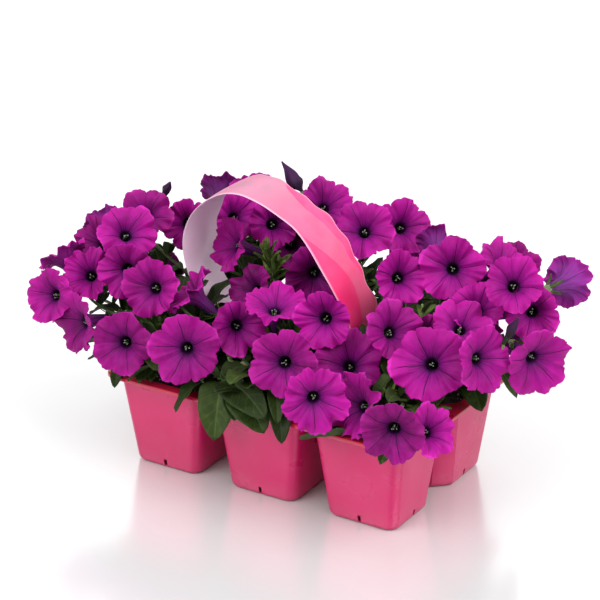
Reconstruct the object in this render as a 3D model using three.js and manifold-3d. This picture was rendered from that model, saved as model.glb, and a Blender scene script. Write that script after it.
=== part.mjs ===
// A six-cell bedding pack of petunias in bloom: a thin moulded tray of three by two tapered cells, soil,
// one plant in each cell, and a flat strap arched over the pack as its carry handle.
// Millimetres, +Z up, +X along the long side, origin on the standing surface under the middle of the pack.
import * as THREE from 'three';
import { mergeVertices } from 'three/addons/utils/BufferGeometryUtils.js';
import Module from 'manifold-3d';

const wasm = await Module();
wasm.setup();

// ---------------------------------------------------------------- driving dimensions
const COLUMN_PITCH = 88;
const ROW_PITCH = 79.5;
const CELL_FOOT = 59;
const CELL_MOUTH = 76.8;
const TRAY_HEIGHT = 77;
const WALL = 1.2;
const FLANGE_LENGTH = 271;
const FLANGE_DEPTH = 171.6;
const FLANGE_LIP = 3;
const CORNER_ROUND = 9;
const INNER_CHAMFER = 12;
const DRAIN_WIDTH = 2.2;
const DRAIN_TOP = 7.5;
const DRAIN_BOTTOM = 2;

const GAP = 0.3; // kept between pieces that touch on the real pack
const SOIL_TOP = 68;
const MOUND_INSET = 14;
const MOUND_HEIGHT = 2;
const MOUND_WAVE = 1.2;
const STEM_RADIUS = 2.6;
const STEM_HOLE_RADIUS = STEM_RADIUS + GAP + 0.4;
const STEM_FOOT = 46;
const STEM_BEND = 80;
const CORE_MIDDLE = 102;

const STRAP_THICKNESS = 0.8;
const STRAP_FOOT_X = 44;
const TAB_HALF = 15.5;
const BARB_HALF = 18;
const CORNER_STEPS = 2;

const PETAL_THICKNESS = 0.9;
const LOBE_NOTCH = 0.84; // how far out the notch between two lobes lies, as a share of the rim's radius
const MIDDLE_SHARE = 0.55; // where the flat face starts to sink into the funnel, as a share of that radius
const MIDDLE_DIP = 2.4;
const THROAT_RADIUS = 4.8;
const THROAT_DEPTH = 9.5;
const THROAT_WALL = 1.4;
const PIT_DEPTH = 16;
const TUBE_RADIUS = 2.7;
const TUBE_LENGTH = 34;
const RIM_WAVE = 1.4;
const RIM_CURL = 1.5;
const NOTCH_DIP = 2.2;
const LEAF_THICKNESS = 0.8;
const SLIVER = 0.02; // edges shorter than this are closed up
const FOOT_BEVEL = { inset: 2.2, height: 2.4 }; // the cut along the bottom edge of a cell
const SEED = 20;

// ---------------------------------------------------------------- colours
const PINK = 0xd23c70;
const STRAP_PINK = 0xff5a90;
const SOIL_BROWN = 0x2e2119;
const LEAF_GREEN = 0x35562c;
const PETAL_MAGENTA = 0xb01e9c;

// ---------------------------------------------------------------- helpers
let seedState = SEED;
function random(low = 0, high = 1) {
  seedState = (seedState * 1664525 + 1013904223) % 4294967296;
  return low + (high - low) * (seedState / 4294967296);
}

// A closed mesh as a solid, its faces turned outwards.
function toSolid(geometry) {
  const bare = geometry.clone();
  bare.deleteAttribute('normal');
  bare.deleteAttribute('uv');
  const merged = mergeVertices(bare, 1e-4);
  const vertProperties = new Float32Array(merged.attributes.position.array);
  const triVerts = new Uint32Array(merged.index.array);
  const solid = new wasm.Manifold(new wasm.Mesh({ numProp: 3, vertProperties, triVerts }));
  if (solid.volume() > 0) return solid;
  triVerts.reverse();
  return new wasm.Manifold(new wasm.Mesh({ numProp: 3, vertProperties, triVerts }));
}

function toGeometry(solid) {
  const mesh = solid.getMesh();
  const geometry = new THREE.BufferGeometry();
  geometry.setAttribute('position', new THREE.BufferAttribute(mesh.vertProperties, 3));
  geometry.setIndex(new THREE.BufferAttribute(mesh.triVerts, 1));
  geometry.computeVertexNormals();
  return geometry;
}

function indexed(points, triangles) {
  const geometry = new THREE.BufferGeometry();
  const numbers = points.flatMap((point) => [point.x, point.y, point.z]);
  geometry.setAttribute('position', new THREE.Float32BufferAttribute(numbers, 3));
  geometry.setIndex(triangles.flat());
  return geometry;
}

// A closed solid through rings of equal point count, each running anticlockwise seen from above.
function loft(rings) {
  const count = rings[0].length;
  const triangles = [];
  for (let ring = 0; ring + 1 < rings.length; ring += 1) {
    for (let k = 0; k < count; k += 1) {
      const a = ring * count + k;
      const b = ring * count + ((k + 1) % count);
      triangles.push([a, b, b + count], [a, b + count, a + count]);
    }
  }
  const last = (rings.length - 1) * count;
  for (let k = 1; k + 1 < count; k += 1) {
    triangles.push([0, k + 1, k], [last, last + k, last + k + 1]);
  }
  return toSolid(indexed(rings.flat(), triangles));
}

// One outline of a rectangle whose corners are cut by the four given sizes, rounded or straight.
function cornered(middle, half, cuts, z, inset = 0) {
  const signs = [[1, -1], [1, 1], [-1, 1], [-1, -1]];
  const points = [];
  signs.forEach(([sx, sy], corner) => {
    const { size, round } = cuts[corner];
    const cut = Math.max(size - inset * 0.6, 0.5);
    const cx = middle.x + sx * (half.x - inset - cut);
    const cy = middle.y + sy * (half.y - inset - cut);
    const start = Math.atan2(sy, sx) - Math.PI / 4;
    const steps = round ? CORNER_STEPS : 1;
    for (let step = 0; step <= steps; step += 1) {
      const angle = start + (Math.PI / 2) * (step / steps);
      points.push(new THREE.Vector3(cx + cut * Math.cos(angle), cy + cut * Math.sin(angle), z));
    }
  });
  return points;
}

function box(size, place) {
  const geometry = new THREE.BoxGeometry(size.x, size.y, size.z);
  geometry.translate(place.x, place.y, place.z);
  return toSolid(geometry);
}

function boxesMeet(first, second) {
  const a = first.boundingBox();
  const b = second.boundingBox();
  return [0, 1, 2].every((k) => a.min[k] < b.max[k] && b.min[k] < a.max[k]);
}

function meets(first, second) {
  return boxesMeet(first, second) && first.intersect(second).volume() > 1e-4;
}

function fuse(solids) {
  return solids.reduce((whole, solid) => whole.add(solid));
}

// ---------------------------------------------------------------- tray
const CELLS = [];
for (const [row, rowName] of [[-1, 'front'], [1, 'back']]) {
  for (const [column, columnName] of [[-1, 'left'], [0, 'middle'], [1, 'right']]) {
    CELLS.push({ name: `${rowName}_${columnName}`, row, column,
      middle: new THREE.Vector3(column * COLUMN_PITCH, row * ROW_PITCH / 2, 0) });
  }
}

// The two corners of a cell that face the other row are cut straight, the outer two are rounded.
function cellCuts(row) {
  const outer = { size: CORNER_ROUND, round: true };
  const inner = { size: INNER_CHAMFER, round: false };
  return row < 0 ? [outer, inner, inner, outer] : [inner, outer, outer, inner];
}

function cellRing(cell, z, inset) {
  const half = CELL_FOOT / 2 + (CELL_MOUTH - CELL_FOOT) / 2 * (z / TRAY_HEIGHT);
  return cornered(cell.middle, { x: half, y: half }, cellCuts(cell.row), z, inset);
}

function cellOutside(cell) {
  const { inset, height } = FOOT_BEVEL;
  return loft([cellRing(cell, 0, inset), cellRing(cell, height, 0), cellRing(cell, TRAY_HEIGHT, 0)]);
}

function cellInside(cell) {
  const { inset, height } = FOOT_BEVEL;
  return loft([cellRing(cell, WALL, WALL + inset), cellRing(cell, WALL + height, WALL),
    cellRing(cell, TRAY_HEIGHT + 1, WALL)]);
}

// A low slot through each side of a cell that faces out of the tray.
function drainSlots(cell) {
  const height = DRAIN_TOP - DRAIN_BOTTOM;
  const through = 10; // long enough to pass the wall and its bevel
  const faces = [new THREE.Vector3(0, cell.row, 0), new THREE.Vector3(cell.column, 0, 0)];
  return faces.filter((face) => face.length() > 0).map((face) => {
    const place = cell.middle.clone().addScaledVector(face, CELL_FOOT / 2);
    place.setZ(DRAIN_BOTTOM + height / 2);
    const size = new THREE.Vector3(face.x ? through : DRAIN_WIDTH, face.y ? through : DRAIN_WIDTH, height);
    return box(size, place);
  });
}

function buildTray() {
  const round = Array(4).fill({ size: CORNER_ROUND + 3, round: true });
  const half = { x: FLANGE_LENGTH / 2, y: FLANGE_DEPTH / 2 };
  const centre = new THREE.Vector3();
  const ring = (z, inset) => cornered(centre, half, round, z, inset);
  let tray = loft([ring(TRAY_HEIGHT - FLANGE_LIP, 0), ring(TRAY_HEIGHT, 0)]);
  tray = tray.subtract(loft([ring(TRAY_HEIGHT - FLANGE_LIP - 1, WALL), ring(TRAY_HEIGHT - WALL, WALL)]));
  for (const cell of CELLS) tray = tray.add(cellOutside(cell));
  for (const cell of CELLS) tray = tray.subtract(cellInside(cell));
  for (const cell of CELLS) for (const slot of drainSlots(cell)) tray = tray.subtract(slot);
  const slotSize = new THREE.Vector3(STRAP_THICKNESS + 2 * GAP, 2 * (TAB_HALF + GAP), 6);
  for (const side of [-1, 1]) {
    tray = tray.subtract(box(slotSize, new THREE.Vector3(side * STRAP_FOOT_X, 0, TRAY_HEIGHT)));
  }
  return tray;
}

// ---------------------------------------------------------------- strap handle
// The strap's middle line in the XZ plane, from under the left slot over the crown to under the right slot.
// It leans to the left, bulges out over its left foot and comes down almost upright on the right.
const STRAP_LINE = [[-44, 62], [-44, 77], [-50, 92], [-66, 107], [-85, 124], [-96, 144], [-99, 165],
  [-97, 184], [-90, 200], [-77, 212.5], [-61, 221], [-45, 223.5], [-29, 219.5], [-13, 211.5], [3, 203],
  [18, 190], [31, 172], [41, 153], [50, 135], [51, 118], [48, 100], [44.4, 85], [44, 77], [44, 62]];
const STRAP_STATIONS = 28;
const STRAP_SHOULDERS = [70, 62]; // how far along from the left and from the right foot the strap widens
const NEAR_EDGE = { half: 23.7, wave: 2.2, crest: 300, pace: 13.4 }; // the front edge waves slowly
const FAR_EDGE = { half: 21.3, wave: 1.3, crest: 244, pace: 3.82 };
const CROWN = { along: 185, spread: 22, swell: 3.5 }; // where the back edge stands out over the top
// A barb shaped as an arrow head ends the tab at each foot, wider than the slot it has passed: distance
// from the foot's end and half width.
const BARB = [[0, 9], [7, BARB_HALF], [11.5, BARB_HALF - 1], [12.2, TAB_HALF]];
const ABOVE_BARB = 16;

// How far across the strap's two edges lie at a distance along it.
function strapEdges(along, length) {
  const [left, right] = STRAP_SHOULDERS;
  if (along < left || length - along < right) return [-TAB_HALF, TAB_HALF];
  const wavy = ({ half, wave, crest, pace }) => half + wave * Math.cos((along - crest) / pace);
  const crown = CROWN.swell * Math.exp(-(((along - CROWN.along) / CROWN.spread) ** 2));
  return [-wavy(NEAR_EDGE), wavy(FAR_EDGE) + crown];
}

function buildStrap(thickness = STRAP_THICKNESS) {
  const line = new THREE.CatmullRomCurve3(STRAP_LINE.map(([x, z]) => new THREE.Vector3(x, 0, z)));
  line.arcLengthDivisions = 800;
  const length = line.getLength();
  const grow = (thickness - STRAP_THICKNESS) / 2;
  const ring = (along, [near, far]) => {
    const point = line.getPointAt(along / length);
    const tangent = line.getTangentAt(along / length);
    const side = new THREE.Vector3(-tangent.z, 0, tangent.x).normalize().multiplyScalar(thickness / 2);
    const corner = (sign, y) => new THREE.Vector3(point.x + sign * side.x, y, point.z + sign * side.z);
    return [corner(-1, near - grow), corner(-1, far + grow), corner(1, far + grow), corner(1, near - grow)];
  };
  const rings = BARB.map(([along, half]) => ring(along, [-half, half]));
  for (let k = 0; k <= STRAP_STATIONS; k += 1) {
    const along = ABOVE_BARB + (length - 2 * ABOVE_BARB) * (k / STRAP_STATIONS);
    rings.push(ring(along, strapEdges(along, length)));
  }
  BARB.slice().reverse().forEach(([along, half]) => rings.push(ring(length - along, [-half, half])));
  return loft(rings);
}

// ---------------------------------------------------------------- soil
// The block of compost in a cell, a little higher in the middle, with a hole for the plant's main stem.
function buildSoil(cell) {
  const side = WALL + GAP;
  const { inset, height } = FOOT_BEVEL;
  const rings = [cellRing(cell, side, side + inset), cellRing(cell, side + height, side),
    cellRing(cell, SOIL_TOP, side)];
  const mound = cellRing(cell, SOIL_TOP, MOUND_INSET);
  rings.push(mound.map((point) => point.setZ(SOIL_TOP + MOUND_HEIGHT + random(-MOUND_WAVE, MOUND_WAVE))));
  const depth = 60;
  const hole = new THREE.CylinderGeometry(STEM_HOLE_RADIUS, STEM_HOLE_RADIUS, depth, 8);
  hole.rotateX(Math.PI / 2);
  hole.translate(cell.middle.x, cell.middle.y, STEM_FOOT - GAP + depth / 2);
  return loft(rings).subtract(toSolid(hole));
}

// ---------------------------------------------------------------- blooms
// Each bloom: name, x, y, z of the middle of its face, the way it looks (azimuth from +X and elevation, in
// degrees), and its width across.
const BLOOMS = [
  ['left_top', -150, -1, 180, -53, 43, 44],
  ['left_upper', -141, -38, 178, -35, 45, 48],
  ['left_dark', -184, -21, 156, -95, 40, 44],
  ['left_mid', -130, -58, 153, -65, 10, 46],
  ['left_wide', -167, -57, 144, -72, 37, 44],
  ['left_tip', -193, -76, 126, -99, 18, 46],
  ['left_low', -160, -84, 112, -110, 5, 50],
  ['left_inner', -102, -65, 148, -84, 21, 48],
  ['left_rim', -107, -98, 113, -79, 16, 50],
  ['front_one', -49, -96, 120, -64, 12, 55],
  ['front_two', -20, -66, 135, -45, 17, 44],
  ['front_three', 34, -91, 127, -69, 17, 52],
  ['bright_left', -80, -46, 145, -157, 41, 46],
  ['mid_up', 2, -51, 154, -58, 68, 48],
  ['left_trumpet', -200, -48, 151, 171, 45, 42],
  ['left_lilac', -194, 3, 157, 150, 5, 40],
  ['behind_left', -130, 30, 162, -50, 10, 44],
  ['lilac_behind', -127, 77, 178, 110, 25, 44],
  ['crown_behind', -95, 72, 179, -58, 35, 46],
  ['arch_back_one', -93, 44, 174, -32, 32, 42],
  ['arch_front', -71, -2, 170, -122, 25, 46],
  ['arch_back_two', -57, 42, 175, -44, 24, 42],
  ['arch_back_three', -51, 59, 153, -46, 22, 40],
  ['arch_low', -40, -22, 148, -110, 35, 42],
  ['arch_right', 4, 6, 156, -47, 5, 50],
  ['top_one', -28, 72, 188, -41, 45, 44],
  ['top_two', 22, 46, 186, -63, 41, 48],
  ['top_three', 42, 74, 183, -36, 32, 46],
  ['top_lilac', 74, 76, 174, 100, 20, 42],
  ['tilt_right', 85, -6, 177, -42, 26, 42],
  ['right_big', 116, 16, 182, -62, 19, 50],
  ['right_far', 145, 47, 183, 2, 47, 44],
  ['right_dark', 133, 82, 166, -58, 30, 42],
  ['right_mid', 170, 10, 185, -60, 37, 46],
  ['right_lilac', 182, 79, 165, 85, -8, 42],
  ['right_edge', 179, 23, 160, -62, 23, 42],
  ['right_low', 199, -4, 134, -30, -3, 54],
  ['right_in', 143, 5, 163, -63, 47, 42],
  ['right_side', 143, -19, 158, -49, 55, 44],
  ['right_gap', 112, -18, 140, -58, 30, 32],
  ['mid_right', 101, -42, 151, -27, 31, 46],
  ['big_right', 137, -56, 138, -74, 26, 58],
  ['right_under', 174, -40, 144, -18, 14, 50],
  ['centre_one', 68, -52, 121, -63, 41, 54],
  ['centre_two', 45, -52, 150, -71, 15, 44],
  ['front_four', 72, -107, 112, -50, 3, 51],
  ['front_curl', 88, -78, 101, -106, 19, 50],
  ['front_five', 140, -114, 107, -69, 0, 48],
  ['front_six', 159, -88, 104, -23, 31, 40],
];

// The far side repeats the same kind of spacing by rule: two bands round the back of the bush.
const FAR_BANDS = [{ height: 110, reachX: 172, reachY: 116, count: 6, look: 5 },
  { height: 148, reachX: 156, reachY: 108, count: 5, look: 25 }];
const FAR_START = THREE.MathUtils.degToRad(168);
const FAR_SWEEP = THREE.MathUtils.degToRad(156);
const FAR_SQUARENESS = 0.6; // below 1 the bands run squarer than an ellipse
const FAR_LOOK = { x: 150, y: 90 };
const FAR_WIDTH = 50;

function farBlooms() {
  const list = [];
  FAR_BANDS.forEach((band, index) => {
    for (let k = 0; k < band.count; k += 1) {
      const turn = FAR_START - (FAR_SWEEP * (k + 0.5 * index)) / (band.count - 0.5);
      const x = band.reachX * Math.cos(turn) + random(-5, 5);
      const y = band.reachY * Math.sin(turn) ** FAR_SQUARENESS + random(-4, 4);
      const z = band.height + random(-5, 5);
      const look = THREE.MathUtils.radToDeg(Math.atan2(y / FAR_LOOK.y, x / FAR_LOOK.x));
      list.push([`far_${index + 1}${k + 1}`, x, y, z, look, band.look, FAR_WIDTH]);
    }
  });
  return list;
}

// A five-lobed funnel with blunt, gently waved lobes. Its face looks along +Z and its tube runs down -Z.
function bloomGeometry(width, waves) {
  const reach = width / 2;
  const thick = PETAL_THICKNESS / 2;
  const points = [];
  const ring = (count, radius, height) => {
    const start = points.length;
    for (let k = 0; k < count; k += 1) {
      const turn = (k / count) * Math.PI * 2;
      const out = radius(k);
      points.push(new THREE.Vector3(out * Math.cos(turn), out * Math.sin(turn), height(k)));
    }
    return start;
  };
  const rimRadius = (k) => reach * (k % 3 === 0 ? LOBE_NOTCH : 1);
  const rimHeight = (k) => waves[k];
  const frontRim = ring(15, rimRadius, (k) => rimHeight(k) + thick);
  const frontMiddle = ring(5, () => reach * MIDDLE_SHARE, () => thick - MIDDLE_DIP);
  const frontThroat = ring(5, () => THROAT_RADIUS, () => -THROAT_DEPTH);
  const pit = ring(1, () => 0, () => -PIT_DEPTH);
  const backRim = ring(15, rimRadius, (k) => rimHeight(k) - thick);
  const backMiddle = ring(5, () => reach * MIDDLE_SHARE, () => -thick - MIDDLE_DIP);
  const backThroat = ring(5, () => THROAT_RADIUS + THROAT_WALL, () => -THROAT_DEPTH - 2);
  const base = ring(5, () => TUBE_RADIUS, () => -TUBE_LENGTH);
  const triangles = [];
  const face = (a, b, c, front) => triangles.push(front ? [a, b, c] : [a, c, b]);
  for (const [rim, middle, throat, front] of [[frontRim, frontMiddle, frontThroat, true],
    [backRim, backMiddle, backThroat, false]]) {
    for (let lobe = 0; lobe < 5; lobe += 1) {
      const r = [0, 1, 2, 3].map((k) => rim + ((lobe * 3 + k) % 15));
      const m = [0, 1].map((k) => middle + ((lobe + k) % 5));
      const t = [0, 1].map((k) => throat + ((lobe + k) % 5));
      face(m[0], r[0], r[1], front);
      face(m[0], r[1], m[1], front);
      face(m[1], r[1], r[2], front);
      face(m[1], r[2], r[3], front);
      face(t[0], m[0], m[1], front);
      face(t[0], m[1], t[1], front);
    }
  }
  for (let k = 0; k < 5; k += 1) {
    const next = (k + 1) % 5;
    face(pit, frontThroat + k, frontThroat + next, true);
    face(backThroat + k, backThroat + next, base + next, false);
    face(backThroat + k, base + next, base + k, false);
    if (k > 0 && k < 4) face(base, base + k, base + next, false);
  }
  for (let k = 0; k < 15; k += 1) {
    const next = (k + 1) % 15;
    face(frontRim + k, backRim + k, backRim + next, true);
    face(frontRim + k, backRim + next, frontRim + next, true);
  }
  return indexed(points, triangles);
}

// The plain space that a bloom takes up, which the heart of a plant is cut back to.
function buildFunnel(bloom) {
  const wide = bloom.width / 2 + 1;
  const profile = [[TUBE_RADIUS + 0.7, -TUBE_LENGTH], [THROAT_RADIUS + 2.6, -THROAT_DEPTH - 2.5],
    [wide, -4], [wide, 4]];
  const sides = 6;
  return loft(profile.map(([radius, height]) => Array.from({ length: sides }, (_, k) => {
    const turn = (k / sides) * Math.PI * 2;
    const outer = radius / Math.cos(Math.PI / sides);
    const corner = new THREE.Vector3(outer * Math.cos(turn), outer * Math.sin(turn), height);
    return corner.applyMatrix4(bloom.matrix);
  })));
}

// The unit direction at an azimuth from +X and an elevation, both in radians.
function direction(turn, rise) {
  return new THREE.Vector3(Math.cos(turn), Math.sin(turn), 0).multiplyScalar(Math.cos(rise))
    .setZ(Math.sin(rise));
}

function buildBloom([name, x, y, z, azimuth, elevation, width]) {
  const axis = new THREE.Vector3(0, 0, 1);
  const look = direction(THREE.MathUtils.degToRad(azimuth), THREE.MathUtils.degToRad(elevation));
  const facing = new THREE.Quaternion().setFromUnitVectors(axis, look);
  const spin = new THREE.Quaternion().setFromAxisAngle(axis, random(0, Math.PI * 2));
  const middle = new THREE.Vector3(x, y, z);
  const matrix = new THREE.Matrix4().compose(middle, facing.multiply(spin), new THREE.Vector3(1, 1, 1));
  const curl = random(-RIM_CURL, RIM_CURL);
  const wave = (_, k) => (k % 3 === 0 ? -NOTCH_DIP : 0) - curl + random(-RIM_WAVE, RIM_WAVE);
  const waves = Array.from({ length: 15 }, wave);
  const solid = toSolid(bloomGeometry(width, waves).applyMatrix4(matrix));
  const base = middle.clone().addScaledVector(look, -TUBE_LENGTH);
  return { name, middle, look, width, matrix, solid, base };
}

// Blooms whose petals cross are one piece.
function gather(blooms) {
  const groups = [];
  for (const bloom of blooms) {
    const near = groups.filter((group) => group.some((other) => meets(other.solid, bloom.solid)));
    for (const group of near) groups.splice(groups.indexOf(group), 1);
    groups.push([...near.flat(), bloom]);
  }
  return groups;
}

// ---------------------------------------------------------------- plants
// Leaves that hang over the rim or stand out where they show: root, tip, width, and how high they arch.
const RIM_LEAVES = [
  { plant: 'front_left', root: [-112, -60, 96], tip: [-164, -70, 88], width: 18, arch: 4 },
  { plant: 'front_left', root: [-96, -72, 94], tip: [-117, -93, 72], width: 14, arch: 12 },
  { plant: 'front_left', root: [-90, -72, 92], tip: [-106, -94, 79], width: 13, arch: 10 },
  { plant: 'front_left', root: [-84, -72, 94], tip: [-66, -93, 84], width: 16, arch: 8 },
  { plant: 'front_left', root: [-78, -74, 96], tip: [-55, -98, 69], width: 13, arch: 12 },
  { plant: 'front_middle', root: [-20, -70, 96], tip: [-24, -99, 54], width: 25, arch: 12 },
  { plant: 'front_middle', root: [-14, -72, 98], tip: [18, -103, 85], width: 22, arch: 9 },
  { plant: 'front_middle', root: [-6, -72, 92], tip: [24, -97, 73], width: 21, arch: 8 },
  { plant: 'front_middle', root: [-6, -70, 90], tip: [-4, -94, 73], width: 14, arch: 9 },
  { plant: 'front_middle', root: [16, -72, 96], tip: [32, -95, 79], width: 13, arch: 8 },
  { plant: 'front_middle', root: [22, -72, 94], tip: [41, -97, 66], width: 15, arch: 10 },
  { plant: 'front_right', root: [78, -66, 88], tip: [56, -97, 75], width: 13, arch: -3 },
  { plant: 'back_right', root: [112, 40, 92], tip: [147, 6, 79], width: 20, arch: 6 },
  { plant: 'back_right', root: [114, 52, 96], tip: [153, 52, 71], width: 15, arch: 13 },
];
const CORE_RADII = new THREE.Vector3(27, 23, 15);
const HEART_SPREAD = new THREE.Vector3(1.04, 1.12, 1); // the hearts lean a little out of the pack
const GOLDEN_TURN = Math.PI * (3 - Math.sqrt(5));
const LEAVES_PER_PLANT = 8;
const ROOT_DEPTH = 0.72; // how far out in the heart the leaves are rooted, as a share of its radii
const CUP_RADIUS = 4;
const STALK_RADII = [1.3, 1.5, 1.9];
const STALK_SIDES = 4;
const CUP_LENGTH = 7;
const SEPAL_LENGTH = 12;
const SEPAL_SPREAD = 8;
const TRIES = 200;
const PLANTS_TRIED = 3;
const LEAF_TRIES = 24;
// Blooms seen from the side or from behind, whose green sepals show.
const SIDE_ON = ['left_trumpet', 'left_lilac', 'lilac_behind', 'top_lilac', 'right_lilac', 'bright_left'];

// A round stem through the given points, with its own radius at each.
function tube(points, radii, sides) {
  const reference = new THREE.Vector3(0.31, 0.27, 0.91).normalize();
  return loft(points.map((at, k) => {
    const [ahead, behind] = [points[Math.min(k + 1, points.length - 1)], points[Math.max(k - 1, 0)]];
    const along = ahead.clone().sub(behind).normalize();
    const across = new THREE.Vector3().crossVectors(along, reference).normalize();
    const over = new THREE.Vector3().crossVectors(along, across).normalize();
    return Array.from({ length: sides }, (_, side) => {
      const turn = (side / sides) * Math.PI * 2;
      return at.clone().addScaledVector(across, radii[k] * Math.cos(turn))
        .addScaledVector(over, radii[k] * Math.sin(turn));
    });
  }));
}

// The cup that holds a bloom's tube, drawn out into five pointed sepals.
function buildCalyx(bloom) {
  const floor = -TUBE_LENGTH - GAP;
  const points = [];
  const spot = (radius, turn, height) => {
    points.push(new THREE.Vector3(radius * Math.cos(turn), radius * Math.sin(turn), floor + height));
    return points.length - 1;
  };
  const step = (Math.PI * 2) / 5;
  const foot = Array.from({ length: 5 }, (_, k) => spot(1.1, k * step, -5));
  const rim = Array.from({ length: 5 }, (_, k) => spot(4.4, k * step, 0));
  const inner = Array.from({ length: 5 }, (_, k) => spot(2.95, (k + 0.5) * step, 0));
  const tips = Array.from({ length: 5 }, (_, k) => spot(SEPAL_SPREAD, (k + 0.5) * step, SEPAL_LENGTH));
  const heart = spot(0, 0, 0);
  const triangles = [2, 3, 4].map((k) => [foot[0], foot[k], foot[k - 1]]);
  for (let k = 0; k < 5; k += 1) {
    const next = (k + 1) % 5;
    triangles.push([foot[k], foot[next], rim[next]], [foot[k], rim[next], rim[k]]);
    triangles.push([rim[k], rim[next], tips[k]]);
    triangles.push([rim[k], tips[k], inner[k]], [tips[k], rim[next], inner[k]]);
    triangles.push([heart, rim[k], inner[k]], [heart, inner[k], rim[next]]);
  }
  return toSolid(indexed(points, triangles).applyMatrix4(bloom.matrix));
}

// A leaf: an arched pointed blade folded along its midrib, its narrow root sunk in what it grows from.
const LEAF_STATIONS = [{ at: 0, wide: 0 }, { at: 0.46, wide: 0.9 }, { at: 0.74, wide: 0.86 },
  { at: 1, wide: 0 }];
const LEAF_FOLD = 0.12; // how far the edges stand above the midrib, as a share of the leaf's width

function buildLeaf({ root, tip, width, arch }, clear = 0) {
  const run = tip.clone().sub(root);
  const out = run.clone().setZ(0).normalize();
  const side = new THREE.Vector3(-out.y, out.x, 0);
  const half = LEAF_THICKNESS / 2 + clear;
  const points = [];
  const rows = LEAF_STATIONS.map(({ at, wide }) => {
    const middle = root.clone().addScaledVector(run, at);
    middle.z += arch * 4 * at * (1 - at);
    const slope = run.clone().setZ(run.z + arch * 4 * (1 - 2 * at)).normalize();
    const over = new THREE.Vector3().crossVectors(slope, side).normalize();
    middle.addScaledVector(slope, at === 1 ? clear : 0);
    return (wide === 0 ? [0] : [-1, 0, 1]).map((across) => {
      const spot = middle.clone().addScaledVector(side, across * (wide * width / 2 + clear))
        .addScaledVector(over, Math.abs(across) * width * LEAF_FOLD);
      points.push(spot.clone().addScaledVector(over, half), spot.clone().addScaledVector(over, -half));
      return points.length - 2;
    });
  });
  const triangles = [];
  const both = (a, b, c) => triangles.push([a, b, c], [a + 1, c + 1, b + 1]);
  const edge = (a, b) => triangles.push([a, a + 1, b + 1], [a, b + 1, b]);
  const [[base], [left1, mid1, right1], [left2, mid2, right2], [end]] = rows;
  both(base, mid1, left1);
  both(base, right1, mid1);
  both(left1, mid2, left2);
  both(left1, mid1, mid2);
  both(mid1, right2, mid2);
  both(mid1, right1, right2);
  both(left2, mid2, end);
  both(mid2, right2, end);
  const outline = [base, right1, right2, end, left2, left1];
  outline.forEach((a, k) => edge(a, outline[(k + 1) % outline.length]));
  return toSolid(indexed(points, triangles));
}

// The dense heart of a plant, a lumpy body that its stems and leaves stand out of.
function buildCore(centre) {
  const geometry = mergeVertices(bareSphere(), 1e-3);
  const position = geometry.attributes.position;
  for (let k = 0; k < position.count; k += 1) {
    const spot = new THREE.Vector3().fromBufferAttribute(position, k).multiplyScalar(random(0.86, 1.1));
    spot.multiply(CORE_RADII).add(centre);
    position.setXYZ(k, spot.x, spot.y, spot.z);
  }
  return toSolid(geometry);
}

function bareSphere() {
  const sphere = new THREE.IcosahedronGeometry(1, 1);
  sphere.deleteAttribute('normal');
  sphere.deleteAttribute('uv');
  return sphere;
}

function largest(solid) {
  return solid.decompose().sort((a, b) => b.volume() - a.volume())[0];
}

function carve(solid, obstacles) {
  const near = obstacles.filter((other) => meets(other, solid));
  return near.reduce((rest, other) => rest.subtract(other), solid);
}

function isClear(guard, obstacles) {
  return !obstacles.some((other) => meets(other, guard));
}

// A plant starts as its main stem, which stands in the soil, and its heart, cut back from what stays clear.
function startPlant(cell, obstacles) {
  const heart = cell.middle.clone().multiply(HEART_SPREAD).setZ(CORE_MIDDLE);
  const line = [cell.middle.clone().setZ(STEM_FOOT), cell.middle.clone().setZ(STEM_BEND), heart];
  const stem = tube(line, [STEM_RADIUS, STEM_RADIUS, STEM_RADIUS * 0.8], 6);
  const core = largest(carve(buildCore(heart), obstacles));
  return { cell, heart, core, pieces: [stem, core], leaves: [] };
}

// A spot inside the heart of a plant, on the side that faces the given point.
function insideHeart(plant, toward, depth = ROOT_DEPTH) {
  const away = toward.clone().sub(plant.heart).divide(CORE_RADII);
  if (away.length() > depth) away.setLength(depth);
  return away.multiply(CORE_RADII).add(plant.heart);
}

// The stalk from a bloom back into the heart of its plant, bent until it clears everything. It starts as a
// flared cup that holds the bloom's tube.
function addStalk(plant, bloom, obstacles) {
  const others = obstacles.filter((other) => other !== bloom.solid);
  const behind = (distance) => bloom.base.clone().addScaledVector(bloom.look, -distance);
  const [rim, foot] = [behind(GAP), behind(CUP_LENGTH)];
  for (let tries = 0; tries < TRIES; tries += 1) {
    const swing = (tries % (TRIES / 2)) * 0.45;
    const sway = new THREE.Vector3(random(-swing, swing), random(-swing, swing), random(-swing, swing));
    const depth = tries === 0 ? ROOT_DEPTH : random(ROOT_DEPTH / 2, ROOT_DEPTH);
    const end = insideHeart(plant, bloom.base, depth);
    const line = [rim, foot, foot.clone().lerp(end, 0.5).add(sway), end];
    const radii = [tries < TRIES / 2 ? CUP_RADIUS : STALK_RADII[0], ...STALK_RADII];
    const wide = radii.map((radius) => radius + GAP);
    const bent = tube(line.slice(1), wide.slice(1), STALK_SIDES);
    const stalk = tube(line, radii, STALK_SIDES);
    if (meets(stalk, plant.core) && isClear(tube(line, wide, STALK_SIDES), others)
      && isClear(bent, [bloom.solid])) {
      plant.pieces.push(stalk);
      if (SIDE_ON.includes(bloom.name)) plant.pieces.push(carve(buildCalyx(bloom), others));
      return true;
    }
  }
  return false;
}

function addLeaf(plant, leaf, obstacles) {
  const blade = buildLeaf(leaf);
  if (!meets(blade, plant.core) || !isClear(buildLeaf(leaf, GAP), obstacles)) return false;
  plant.leaves.push(blade);
  plant.pieces.push(blade);
  return true;
}

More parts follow.
